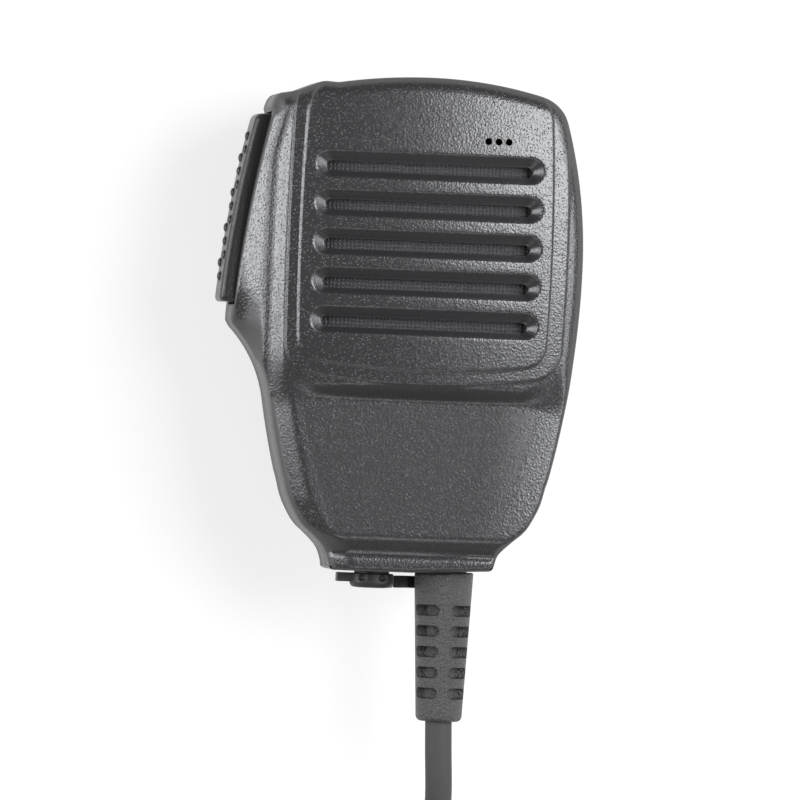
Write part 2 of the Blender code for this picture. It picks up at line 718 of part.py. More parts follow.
def raised_sheet(half_width, bottom_y, corner, step, floor):
    """The band or the panel: a sheet on the front with a softened edge, run out over the top edge."""
    low = bottom_y + half_width**2 / (2 * PANEL_BOTTOM_RADIUS) * 0.62
    angles = np.linspace(0, math.pi / 2, 5)
    rows = np.concatenate([low + corner * (1 - np.cos(angles)), np.linspace(-0.0080, 0.0150, 5)])
    near_top = [0.0175, 0.0195, 0.0210, 0.0222, 0.0232]
    rows = np.concatenate([rows[:1], rows[:1] + 0.00025, rows[1:], near_top])[:, None]
    side = half_width_at(rows, half_width, corner, low)
    share = np.concatenate([[-1], np.linspace(-1, 1, 13) * 0.985, [1]])[None, :]
    x = side * share
    sag = (bottom_y - low) + x**2 / (2 * PANEL_BOTTOM_RADIUS) * 0.62
    y = rows + np.minimum(sag, 0) * smooth_step(-rows, -low - 0.0060, -low)
    y = y + (top_edge(x) - 0.0008 - 0.0232) * smooth_step(rows, 0.0130, 0.0232)
    edge = np.zeros_like(x)
    edge[0, :] = edge[:, 0] = edge[:, -1] = 1
    sunk = smooth_step(y, top_edge(x) - 0.0030, top_edge(x) - 0.0008)
    z = upper_level(x, y) + step - floor * edge - (step + 0.0005) * sunk
    return x, y, z


def upper_level(x, y):
    level = crown(x, y) - PANEL_STEP - BAND_STEP
    return level - rounding(np.clip(distance_to_edge(x, y), 0, None), edge_radius(x, y))


def slot_ring(y_mid, length, height, offset, above):
    """An obround on the domed front: from its left tip over the upper side, and back underneath."""
    radius, straight = height / 2, (length - height) / 2
    end = arc((-straight, 0), radius, math.pi, math.pi / 2, 3)
    upper = list(end)
    upper += [(x, radius) for x in np.linspace(-straight, straight, 5)[1:-1]]
    upper += [(-x, y) for x, y in reversed(end)]
    outline = upper + [(x, -y) for x, y in reversed(upper[1:-1])]
    return [(x, y_mid + offset + y, float(crown(x, y_mid)) + above) for x, y in outline]


def slot_cutter(y_mid):
    """A dished louvre: an obround mouth narrowing to a thinner slit set a little below its middle."""
    rise = 0.0008
    spread = rise / SLOT_DEPTH
    mouth = slot_ring(
        y_mid,
        SLOT_LENGTH + spread * (SLOT_LENGTH - SLIT_LENGTH),
        SLOT_HEIGHT + spread * (SLOT_HEIGHT - SLIT_HEIGHT),
        -spread * SLIT_OFFSET,
        rise,
    )
    slit = slot_ring(y_mid, SLIT_LENGTH, SLIT_HEIGHT, SLIT_OFFSET, -SLOT_DEPTH)
    back = [(x, y, z - 0.0040) for x, y, z in slit]
    bm = bmesh.new()
    rings = [[bm.verts.new(p) for p in ring] for ring in (mouth, slit, back)]
    for a, b in zip(rings, rings[1:]):
        bridge(bm, a, b)
    for ring in (rings[0], rings[-1]):
        half = len(ring) // 2
        for i in range(half):
            corners = [ring[i], ring[i + 1]] + ([ring[-i - 1]] if i < half - 1 else [])
            corners += [ring[-i]] if i else []
            bm.faces.new(corners)
    return bm


def shell_cavity(height, roof, floor_z):
    """The space inside a shell, one wall inside its outer faces."""
    x, y = plan_grid(COARSE_ROWS, [0, 0.0016, 0.0040], [0, 0.0016, 0.0040], 6, inset=WALL)
    return block_under(x, y, height(x, y) + roof, floor_z)


def boss_top(x, y):
    """A height inside the front wall, where a boss joins it."""
    return float(front_height(np.array([x]), np.array([y]))[0]) - WALL / 2


def neck_openings():
    """The openings through the neck's wall, shared by both shells: boot, jack and the cap's anchor."""
    wall_out, wall_in = BOTTOM_Y - 0.0030, BOTTOM_Y + WALL + 0.0015
    openings = (
        (BOOT_NECK_RADIUS + SEAT, BOOT_X, AXIS_Z, 20),
        (CAP_RADIUS, JACK_X, AXIS_Z, 20),
        (STRAP_STEM_RADIUS + SEAT, STRAP_ANCHOR_X, STRAP_ANCHOR_Z, 12),
    )
    return merged(*[
        turned([(radius, 0), (radius, wall_in - wall_out)], "Y", (x, wall_out, z), segments)
        for radius, x, z, segments in openings
    ])


def key_window():
    """The window for the key, cut through the left wall of both shells."""
    return box(
        (TIP_X - 0.0040, KEY_BOTTOM_Y - 0.0004, KEY_LOW_Z - SEAT),
        (FLANGE_TOP_X + WALL, KEY_TOP_Y + 0.0004, KEY_HIGH_Z + SEAT),
    )


def speaker_ribs():
    """Four short ribs that locate the loudspeaker's rim, clear of the louvres and their cloth."""
    near, far = SPEAKER_RADIUS + SEAT, SPEAKER_RADIUS + SEAT + RIB_WALL
    low = SPEAKER_TOP_Z - SPEAKER_FLANGE - 0.0010
    ribs = []
    for dx, dy in ((1, 0), (0, 1), (-1, 0), (0, -1)):
        high = boss_top(far * dx, SPEAKER_Y + far * dy)
        across = (RIB_HALF_LENGTH * abs(dy), RIB_HALF_LENGTH * abs(dx))
        xs = sorted((near * dx, far * dx)) if dx else (-across[0], across[0])
        ys = sorted((near * dy, far * dy)) if dy else (-across[1], across[1])
        ribs.append(box((xs[0], SPEAKER_Y + ys[0], low), (xs[1], SPEAKER_Y + ys[1], high)))
    return ribs


def build_front_case():
    x, y = plan_grid(ROWS, LEFT_OFFSETS, RIGHT_OFFSETS, 7)
    shell = add("front_case", block_under(x, y, front_height(x, y), PARTING_Z), SHELL_LOOK)
    band = (PANEL_HALF_WIDTH + BAND_WIDTH, PANEL_BOTTOM_Y - BAND_WIDTH * 0.85, BAND_CORNER_RADIUS)
    panel = (PANEL_HALF_WIDTH, PANEL_BOTTOM_Y, PANEL_CORNER_RADIUS)
    boolean(shell, "UNION", sheet(*raised_sheet(*band, BAND_STEP, 0.0002), SKIN), "band")
    boolean(shell, "UNION", sheet(*raised_sheet(*panel, BAND_STEP + PANEL_STEP, 0.0002), SKIN), "panel")
    cavity = shell_cavity(front_height, -WALL, PARTING_Z - 0.0010)
    boolean(shell, "DIFFERENCE", cavity, "cavity")
    bosses = [
        turned([(BOSS_RADIUS, PARTING_Z), (BOSS_RADIUS, boss_top(bx, by))], at=(bx, by, 0), segments=12)
        for bx, by in SCREW_PLACES
    ]
    bosses.append(
        turned(
            [(PIVOT_EAR_RADIUS, KEY_HIGH_Z + 2 * SEAT), (PIVOT_EAR_RADIUS, boss_top(PIVOT_X, PIVOT_Y))],
            at=(PIVOT_X, PIVOT_Y, 0),
            segments=12,
        )
    )
    boolean(shell, "UNION", merged(*bosses), "bosses")
    boolean(shell, "UNION", merged(*speaker_ribs()), "ribs")
    slots = [slot_cutter(SLOT_TOP_Y - i * SLOT_PITCH) for i in range(SLOT_COUNT)]
    boolean(shell, "DIFFERENCE", merged(*slots), "slots")
    cutters = []
    for i in (-1, 0, 1):
        hole = [(MIC_HOLE_RADIUS, CROWN_Z - 0.0060), (MIC_HOLE_RADIUS, CROWN_Z + 0.0010)]
        cutters.append(turned(hole, at=(MIC_HOLE_X + i * MIC_HOLE_PITCH, MIC_HOLE_Y, 0), segments=10))
    radius = SCREW_SHANK_RADIUS + SEAT
    for bx, by in SCREW_PLACES:
        bore = [(radius, PARTING_Z - 0.001), (radius, SCREW_LENGTH + 0.0010)]
        cutters.append(turned(bore, at=(bx, by, 0), segments=10))
    socket = [(PIVOT_PIN_RADIUS + SEAT, PARTING_Z), (PIVOT_PIN_RADIUS + SEAT, PIVOT_PIN_HIGH_Z + SEAT)]
    cutters.append(turned(socket, at=(PIVOT_X, PIVOT_Y, 0), segments=12))
    boolean(shell, "DIFFERENCE", merged(*cutters), "holes")
    boolean(shell, "DIFFERENCE", key_window(), "window")
    boolean(shell, "DIFFERENCE", neck_openings(), "neck")


def build_rear_case():
    top = PARTING_Z - SEAT
    offsets = [0, 0.0003, 0.0012, BACK_EDGE_RADIUS]
    x, y = plan_grid(BACK_ROWS, offsets, offsets, 2)
    shell = add("rear_case", block_under(x, y, back_height(x, y), top), SHELL_LOOK)
    boolean(shell, "DIFFERENCE", shell_cavity(lambda x, y: np.full_like(x, WALL), 0, top + 0.001), "cavity")
    solid = [
        turned([(BOSS_RADIUS, WALL / 2), (BOSS_RADIUS, top)], at=(bx, by, 0), segments=12)
        for bx, by in SCREW_PLACES
    ]
    post = [(POST_RADIUS, WALL / 2), (POST_RADIUS, BOARD_LOW_Z - SEAT)]
    solid += [turned(post, at=(px, py, 0), segments=10) for px, py in BOARD_SCREW_PLACES + POST_PLACES]
    pin_post = [(PIVOT_EAR_RADIUS, WALL / 2), (PIVOT_EAR_RADIUS, KEY_LOW_Z - 2 * SEAT)]
    solid.append(turned(pin_post, at=(PIVOT_X, PIVOT_Y, 0), segments=12))
    swivel = [(2 * SWIVEL_RADIUS, WALL / 2), (2 * SWIVEL_RADIUS, BOARD_LOW_Z - 0.0008)]
    solid.append(turned(swivel, at=(0, CLIP_Y, 0), segments=16))
    boolean(shell, "UNION", merged(*solid), "bosses")
    cutters = []
    for bx, by in SCREW_PLACES:
        bore, head = SCREW_SHANK_RADIUS + SEAT, SCREW_HEAD_RADIUS + SEAT
        seat = SCREW_HEAD_HEIGHT + 0.0002 + SEAT
        profile = [(head, -0.001), (head, seat), (bore, seat), (bore, top + 0.001)]
        cutters.append(turned(profile, at=(bx, by, 0), segments=12))
    for px, py in BOARD_SCREW_PLACES:
        bore = [(SCREW_SHANK_RADIUS + SEAT, WALL + 0.0005), (SCREW_SHANK_RADIUS + SEAT, BOARD_LOW_Z)]
        cutters.append(turned(bore, at=(px, py, 0), segments=10))
    socket = [(PIVOT_PIN_RADIUS + SEAT, PIVOT_PIN_LOW_Z - SEAT), (PIVOT_PIN_RADIUS + SEAT, KEY_LOW_Z)]
    cutters.append(turned(socket, at=(PIVOT_X, PIVOT_Y, 0), segments=12))
    screw = [(SWIVEL_RADIUS + SEAT, -0.001), (SWIVEL_RADIUS + SEAT, BOARD_LOW_Z - 0.0014)]
    cutters.append(turned(screw, at=(0, CLIP_Y, 0), segments=14))
    boolean(shell, "DIFFERENCE", merged(*cutters), "holes")
    boolean(shell, "DIFFERENCE", key_window(), "window")
    boolean(shell, "DIFFERENCE", neck_openings(), "neck")


def build_case_screws():
    for i, (bx, by) in enumerate(SCREW_PLACES):
        seat = 0.0002 + SCREW_HEAD_HEIGHT
        profile = [
            (0, 0.0002),
            (SCREW_HEAD_RADIUS, 0.0002),
            (SCREW_HEAD_RADIUS, seat),
            (SCREW_SHANK_RADIUS, seat),
            (SCREW_SHANK_RADIUS, SCREW_LENGTH),
            (0, SCREW_LENGTH + 0.0006),
        ]
        add(f"case_screw_{i + 1}", turned(profile, at=(bx, by, 0), segments=12), STEEL_LOOK)


# Push-to-talk key

def flange_x(y):
    """The outer edge of the key housing's flange."""
    middle = flange_centre()
    return middle.x - np.sqrt(FLANGE_ARC_RADIUS**2 - (np.asarray(y) - middle.y) ** 2)


def key_outline(y):
    """The key's section at one place along it, as (x, z) pairs, rounded outside and at its ends."""
    end = min(y - KEY_BOTTOM_Y, KEY_TOP_Y - y)
    shrink = float(rounding(np.array(end), KEY_EDGE_RADIUS))
    outer = float(flange_x(y)) - KEY_PROUD + 0.6 * shrink
    inner = float(flange_x(y)) + KEY_DEPTH - KEY_PROUD
    low, high, r = KEY_LOW_Z + 0.5 * shrink, KEY_HIGH_Z - 0.5 * shrink, KEY_EDGE_RADIUS
    points = [(inner, low)]
    points += arc((outer + r, low + r), r, 1.5 * math.pi, math.pi, 4)
    points += arc((outer + r, high - r), r, math.pi, math.pi / 2, 4)
    return points + [(inner, high)]


def dot(y, z):
    """One raised grip dot on the key's outer face."""
    x = float(flange_x(y)) - KEY_PROUD
    profile = [
        (DOT_RADIUS, -0.0006),
        (DOT_RADIUS, 0.25 * DOT_HEIGHT),
        (0.62 * DOT_RADIUS, 0.85 * DOT_HEIGHT),
        (0, DOT_HEIGHT),
    ]
    body = turned(profile, segments=6)
    turn = Matrix.Rotation(-math.pi / 2, 4, "Y")
    bmesh.ops.transform(body, matrix=Matrix.Translation((x, y, z)) @ turn, verts=body.verts)
    return body


def build_key():
    ends = KEY_EDGE_RADIUS * np.array([0, 0.3, 1.0])
    stations = np.concatenate([KEY_BOTTOM_Y + ends, np.linspace(-0.006, 0.016, 7), KEY_TOP_Y - ends[::-1]])
    rings = [[(px, y, pz) for px, pz in key_outline(float(y))] for y in stations]
    key = add("ptt_key", loft(rings), RUBBER_LOOK, (PIVOT_X, PIVOT_Y, 0))
    mid_z = (KEY_LOW_Z + KEY_HIGH_Z) / 2
    dots = []
    for i in range(DOT_COUNT):
        dots.append(dot(DOT_TOP_Y - i * DOT_PITCH, mid_z))
    for i in range(DOT_COUNT - 1):
        y = DOT_TOP_Y - (i + 0.5) * DOT_PITCH
        dots += [dot(y + 0.0006, mid_z + 0.0023), dot(y - 0.0006, mid_z - 0.0023)]
    boolean(key, "UNION", merged(*dots), "dots")
    inner = float(flange_x(PIVOT_Y)) + KEY_DEPTH - KEY_PROUD
    arm = [(inner - 0.001, PIVOT_Y - PIVOT_EAR_RADIUS), (PIVOT_X, PIVOT_Y - PIVOT_EAR_RADIUS)]
    arm += arc((PIVOT_X, PIVOT_Y), PIVOT_EAR_RADIUS, -math.pi / 2, math.pi / 2, 8)[1:]
    arm.append((inner - 0.001, PIVOT_Y + PIVOT_EAR_RADIUS))
    nub_x = float(flange_x(SWITCH_Y)) + KEY_DEPTH - KEY_PROUD
    reach = SWITCH_FACE_X - PLUNGER_PROUD - SEAT
    nub = box(
        (nub_x - 0.001, SWITCH_Y - PLUNGER_RADIUS, mid_z - KEY_HOOK_HALF),
        (reach, SWITCH_Y + PLUNGER_RADIUS, mid_z + 0.0010),
    )
    hook_x = float(flange_x(KEY_BOTTOM_Y)) + WALL + SEAT
    hook = box(
        (hook_x, KEY_BOTTOM_Y - KEY_HOOK_REACH, mid_z - KEY_HOOK_HALF),
        (hook_x + KEY_HOOK_THICKNESS, KEY_BOTTOM_Y + KEY_HOOK_REACH, mid_z + KEY_HOOK_HALF),
    )
    boolean(key, "UNION", merged(prism(arm, KEY_LOW_Z, KEY_HIGH_Z), nub, hook), "arms")
    bore = [(PIVOT_PIN_RADIUS + SEAT, KEY_LOW_Z - 0.001), (PIVOT_PIN_RADIUS + SEAT, KEY_HIGH_Z + 0.001)]
    boolean(key, "DIFFERENCE", turned(bore, at=(PIVOT_X, PIVOT_Y, 0), segments=12), "bore")
    pin = [(PIVOT_PIN_RADIUS, PIVOT_PIN_LOW_Z), (PIVOT_PIN_RADIUS, PIVOT_PIN_HIGH_Z)]
    add("ptt_pivot_pin", turned(pin, at=(PIVOT_X, PIVOT_Y, 0), segments=12), STEEL_LOOK)


def build_switch():
    low = BOARD_LOW_Z + BOARD_THICKNESS + SEAT
    body = box(
        (SWITCH_FACE_X, SWITCH_Y - SWITCH_WIDTH / 2, low),
        (SWITCH_FACE_X + SWITCH_LENGTH, SWITCH_Y + SWITCH_WIDTH / 2, low + SWITCH_HEIGHT),
    )
    switch = add("ptt_switch_body", body, DARK_LOOK)
    mid_z = low + SWITCH_HEIGHT / 2
    bore = [(PLUNGER_RADIUS + SEAT, -0.001), (PLUNGER_RADIUS + SEAT, 0.0018)]
    boolean(switch, "DIFFERENCE", turned(bore, "X", (SWITCH_FACE_X, SWITCH_Y, mid_z), 12), "bore")
    plunger = [(PLUNGER_RADIUS, -PLUNGER_PROUD), (PLUNGER_RADIUS, 0.0008)]
    start = (SWITCH_FACE_X, SWITCH_Y, mid_z)
    tip = (SWITCH_FACE_X - PLUNGER_PROUD, SWITCH_Y, mid_z)
    add("ptt_switch_plunger", turned(plunger, "X", start, 12), IVORY_LOOK, tip)


# Loudspeaker and microphone capsule

def build_speaker():
    at = (0, SPEAKER_Y, 0)
    top, depth = SPEAKER_TOP_Z, SPEAKER_FRAME_DEPTH
    wall = 0.0008
    frame = [
        (SPEAKER_RADIUS, top),
        (SPEAKER_RADIUS, top - SPEAKER_FLANGE),
        (SPEAKER_RADIUS - SPEAKER_RIM_WIDTH + 0.0004, top - SPEAKER_FLANGE),
        (SPEAKER_THROAT_RADIUS, top - depth),
        (0.0042, top - depth),
        (0.0042, top - depth + wall),
        (SPEAKER_THROAT_RADIUS - 0.0002, top - depth + wall),
        (SPEAKER_RADIUS - SPEAKER_RIM_WIDTH, top - SPEAKER_FLANGE + 0.0002),
        (SPEAKER_RADIUS - SPEAKER_RIM_WIDTH, top),
    ]
    add("speaker_frame", turned(frame, at=at, segments=20, closed=True), STEEL_LOOK)
    high = top - depth - SEAT
    magnet = [(MAGNET_RADIUS, high - MAGNET_HEIGHT), (MAGNET_RADIUS, high)]
    add("speaker_magnet", turned(magnet, at=at, segments=20), STEEL_LOOK)
    rim = SPEAKER_RADIUS - SPEAKER_RIM_WIDTH - SEAT
    surface = [
        (rim, top - 0.3 * CONE_ROLL_WIDTH),
        (rim - 0.5 * CONE_ROLL_WIDTH, top - 0.1 * CONE_ROLL_WIDTH),
        (rim - CONE_ROLL_WIDTH, top - 0.3 * CONE_ROLL_WIDTH),
        (DUST_CAP_RADIUS, top - CONE_DEPTH),
        (DUST_CAP_RADIUS / 2, top - CONE_DEPTH + 0.75 * DUST_CAP_RISE),
        (0, top - CONE_DEPTH + DUST_CAP_RISE),
    ]
    cone = surface + [(r, h - CONE_THICKNESS) for r, h in reversed(surface)]
    add("speaker_cone", turned(cone, at=at, segments=20, closed=True), DARK_LOOK)
    low = top + SEAT
    gasket = [(SPEAKER_RADIUS, low), (SPEAKER_RADIUS, low + GASKET_HEIGHT)]
    gasket += [(SPEAKER_RADIUS - GASKET_WIDTH, low + GASKET_HEIGHT), (SPEAKER_RADIUS - GASKET_WIDTH, low)]
    add("speaker_gasket", turned(gasket, at=at, segments=20, closed=True), RUBBER_LOOK)
    across = np.linspace(-CLOTH_HALF_WIDTH, CLOTH_HALF_WIDTH, 9)
    lowest, highest = SLOT_TOP_Y - (SLOT_COUNT - 1) * SLOT_PITCH - 0.0026, SLOT_TOP_Y + 0.0016
    x, y = np.meshgrid(across, np.linspace(lowest, highest, 5))
    z = crown(x, y) - PANEL_STEP - BAND_STEP - WALL - SEAT
    add("grille_cloth", sheet(x, y, z, CLOTH_THICKNESS), CLOTH_LOOK)


def build_capsule():
    roof = float(crown(MIC_HOLE_X, MIC_HOLE_Y)) - PANEL_STEP - BAND_STEP - WALL - 0.0004
    inner = CAPSULE_RADIUS + SEAT
    outer = inner + HOLDER_WALL
    deep = roof - CAPSULE_HEIGHT - 2 * SEAT
    under = deep - HOLDER_WALL
    holder = [(outer, roof), (inner, roof), (inner, deep), (0, deep), (0, under), (outer, under)]
    place = (MIC_HOLE_X, MIC_HOLE_Y, 0)
    add("mic_holder", turned(holder, at=place, segments=16, closed=True), RUBBER_LOOK)
    capsule = [(CAPSULE_RADIUS, deep + SEAT), (CAPSULE_RADIUS, deep + SEAT + CAPSULE_HEIGHT)]
    add("mic_capsule", turned(capsule, at=place, segments=16), STEEL_LOOK)


# Circuit board

def build_board():
    tail_low, tail_right = BOTTOM_Y + WALL + 0.0030, BOOT_X - BOOT_COLLAR_RADIUS - 0.0008
    tail_left = JACK_X - JACK_BODY_WIDTH / 2 - 0.0018
    outline = [
        (-BOARD_HALF_WIDTH, BOARD_LOW_Y),
        (tail_left, BOARD_LOW_Y),
        (tail_left, tail_low),
        (tail_right, tail_low),
        (tail_right, BOARD_LOW_Y),
        (BOARD_HALF_WIDTH, BOARD_LOW_Y),
        (BOARD_HALF_WIDTH, BOARD_SHOULDER_Y),
        (BOARD_HEAD_RIGHT_X, BOARD_SHOULDER_Y),
        (BOARD_HEAD_RIGHT_X, BOARD_TOP_Y),
        (BOARD_HEAD_LEFT_X, BOARD_TOP_Y),
        (BOARD_HEAD_LEFT_X, BOARD_SHOULDER_Y),
        (-BOARD_HALF_WIDTH, BOARD_SHOULDER_Y),
    ]
    board = add("circuit_board", prism(outline, BOARD_LOW_Z, BOARD_LOW_Z + BOARD_THICKNESS), BOARD_LOOK)
    bore = SCREW_SHANK_RADIUS + SEAT
    holes = [
        turned([(bore, BOARD_LOW_Z - 0.001), (bore, BOARD_LOW_Z + 0.003)], at=(px, py, 0), segments=10)
        for px, py in BOARD_SCREW_PLACES
    ]
    boolean(board, "DIFFERENCE", merged(*holes), "holes")
    top = BOARD_LOW_Z + BOARD_THICKNESS + SEAT
    for i, (px, py) in enumerate(BOARD_SCREW_PLACES):
        profile = [
            (0, WALL + 0.0010),
            (SCREW_SHANK_RADIUS, WALL + 0.0014),
            (SCREW_SHANK_RADIUS, top),
            (SCREW_HEAD_RADIUS, top),
            (SCREW_HEAD_RADIUS, top + 0.0010),
            (0, top + 0.0014),
        ]
        add(f"board_screw_{i + 1}", turned(profile, at=(px, py, 0), segments=12), STEEL_LOOK)
    connector = box((0.0040, -0.0300, top), (0.0110, -0.0255, top + 0.0042))
    add("board_connector", connector, IVORY_LOOK)
    can = [(0, top), (0.0025, top), (0.0025, top + 0.0054), (0, top + 0.0054)]
    add("board_capacitor", turned(can, at=(-0.0060, -0.0290, 0), segments=16), STEEL_LOOK)


# Earphone jack and its rubber cap

def build_jack():
    face = BOTTOM_Y + JACK_RECESS
    back = BOTTOM_Y + WALL + 2 * SEAT
    low = BOARD_LOW_Z + BOARD_THICKNESS + SEAT
    body = box(
        (JACK_X - JACK_BODY_WIDTH / 2, back, low),
        (JACK_X + JACK_BODY_WIDTH / 2, back + JACK_BODY_LENGTH, low + JACK_BODY_HEIGHT),
    )
    jack = add("earphone_jack", body, DARK_LOOK)
    bush = [(JACK_BUSH_RADIUS, 0), (JACK_BUSH_RADIUS, back - face + 0.001)]
    boolean(jack, "UNION", turned(bush, "Y", (JACK_X, face, AXIS_Z), 24), "bush")
    bore = [(JACK_BORE_RADIUS, -0.001), (JACK_BORE_RADIUS, 0.0090)]
    boolean(jack, "DIFFERENCE", turned(bore, "Y", (JACK_X, face, AXIS_Z), 16), "bore")


def build_cap():
    """The cap turns at the thin root of its strap; the strap's stem is buttoned into the case."""
    top = BOTTOM_Y - CAP_GAP
    low = top - CAP_HEIGHT
    hinge_y = low + 0.0001
    r = CAP_RADIUS
    plug_radius = r - 0.0007
    profile = [
        (0, low + 0.0001),
        (0.6 * r, low),
        (0.88 * r, low + 0.0004),
        (r, low + 0.0011),
        (r, top),
        (plug_radius, top),
        (plug_radius, top + CAP_PLUG_LENGTH),
        (0, top + CAP_PLUG_LENGTH),
    ]
    button = turned(profile, "Y", (JACK_X, 0, AXIS_Z), 24)
    cap = add("jack_cap", button, RUBBER_LOOK, (CAP_HINGE_X, hinge_y, 0))
    tab_end, tab_root, tab_half = JACK_X - r - CAP_TAB_LENGTH, JACK_X - r + 0.001, CAP_TAB_WIDTH / 2
    tab_body = box(
        (tab_end, top - CAP_TAB_THICKNESS, AXIS_Z - tab_half),
        (tab_root, top, AXIS_Z + tab_half),
    )
    arm_z = AXIS_Z - STRAP_OFFSET
    width = STRAP_WIDTH / 2
    arm_body = box(
        (JACK_X + 0.0008, hinge_y, arm_z - width),
        (CAP_HINGE_X - SEAT / 2, hinge_y + STRAP_THICKNESS, arm_z + width),
    )
    boolean(cap, "UNION", merged(tab_body, arm_body), "tab")
    strap = [
        (CAP_HINGE_X + SEAT / 2, arm_z + width),
        (CAP_HINGE_X + SEAT / 2, arm_z - width),
        (CAP_HINGE_X + 0.0016, STRAP_ANCHOR_Z - width + 0.0006),
        (CAP_HINGE_X + 0.0034, STRAP_ANCHOR_Z - width),
    ]
    strap += arc((STRAP_ANCHOR_X, STRAP_ANCHOR_Z), width, -math.pi / 2, math.pi / 2 - 0.5, 6)
    strap += [(CAP_HINGE_X + 0.0028, STRAP_ANCHOR_Z + width)]
    part = add("cap_strap", prism(strap, hinge_y, hinge_y + STRAP_THICKNESS, "Y"), RUBBER_LOOK)
    start = hinge_y + STRAP_THICKNESS
    inside = neck_inner_y(STRAP_ANCHOR_X + 2 * STRAP_STEM_RADIUS) + SEAT
    stem = [
        (0, start - 0.0005),
        (STRAP_STEM_RADIUS, start - 0.0005),
        (STRAP_STEM_RADIUS, inside),
        (STRAP_STEM_RADIUS + 0.0007, inside),
        (STRAP_STEM_RADIUS, inside + 0.0012),
        (0, inside + 0.0013),
    ]
    boolean(part, "UNION", turned(stem, "Y", (STRAP_ANCHOR_X, 0, STRAP_ANCHOR_Z), 12), "stem")


# Strain relief and the cord inside the case

def boot_radius(y):
    share = (BOOT_TOP_Y - y) / BOOT_LENGTH
    return BOOT_TOP_RADIUS + (BOOT_END_RADIUS - BOOT_TOP_RADIUS) * share


def boot_pocket(row, quarter):
    """One pocket in the sleeve: a pill-shaped outline wrapped around its axis."""
    y_mid = BOOT_TOP_Y - BOOT_ROW_TOP - row * BOOT_ROW_PITCH
    half_span = math.radians(90 - BOOT_RIB_DEG) / 2
    middle = math.radians(45 + 90 * quarter)
    half = BOOT_POCKET_HEIGHT / 2
    radius = boot_radius(y_mid)
    straight = half_span - half / radius
    outline = []
    for side, centre in ((1, straight), (-1, -straight)):
        for a in np.linspace(-math.pi / 2, math.pi / 2, 3):
            outline.append((centre + side * half / radius * math.cos(a), side * half * math.sin(a)))
        outline.append((0.0, side * half))
    rings = []
    for r in (BOOT_CORE_RADIUS, BOOT_TOP_RADIUS + 0.001):
        ring = []
        for turn, along in outline:
            x, z = BOOT_X + r * math.sin(middle + turn), AXIS_Z + r * math.cos(middle + turn)
            ring.append((x, y_mid + along, z))
        rings.append(ring)
    return loft(rings)


def build_strain_relief():
    collar_low = neck_inner_y(BOOT_X + BOOT_COLLAR_RADIUS) + SEAT
    collar_high = collar_low + BOOT_COLLAR_LENGTH
    end = BOOT_END_Y
    profile = [
        (0, end),
        (CORD_RADIUS + SEAT, end),
        (BOOT_END_RADIUS - 0.0005, end + 0.0002),
        (BOOT_END_RADIUS, end + 0.0010),
        (BOOT_TOP_RADIUS, BOOT_TOP_Y),
        (BOOT_NECK_RADIUS, BOOT_TOP_Y),
        (BOOT_NECK_RADIUS, collar_low),
        (BOOT_COLLAR_RADIUS, collar_low),
        (BOOT_COLLAR_RADIUS, collar_high),
        (0, collar_high),
    ]
    boot = add("strain_relief", turned(profile, "Y", (BOOT_X, 0, AXIS_Z), 24), BOOT_LOOK)
    pockets = [boot_pocket(row, quarter) for row in range(BOOT_ROWS) for quarter in range(4)]
    boolean(boot, "DIFFERENCE", merged(*pockets), "pockets")
    start = collar_high + SEAT
    tail = [(CORD_RADIUS, start), (CORD_RADIUS, start + CORD_TAIL_LENGTH)]
    add("cord_tail", turned(tail, "Y", (BOOT_X, 0, AXIS_Z), 12), CORD_LOOK)
    inner, outer = CORD_RADIUS + SEAT, CORD_RADIUS + SEAT + FERRULE_WALL
    low, high = start + 0.0008, start + 0.0008 + FERRULE_LENGTH
    ferrule = [(inner, low), (outer, low), (outer, high), (inner, high)]
    add("cord_ferrule", turned(ferrule, "Y", (BOOT_X, 0, AXIS_Z), 16, closed=True), STEEL_LOOK)


# Belt clip

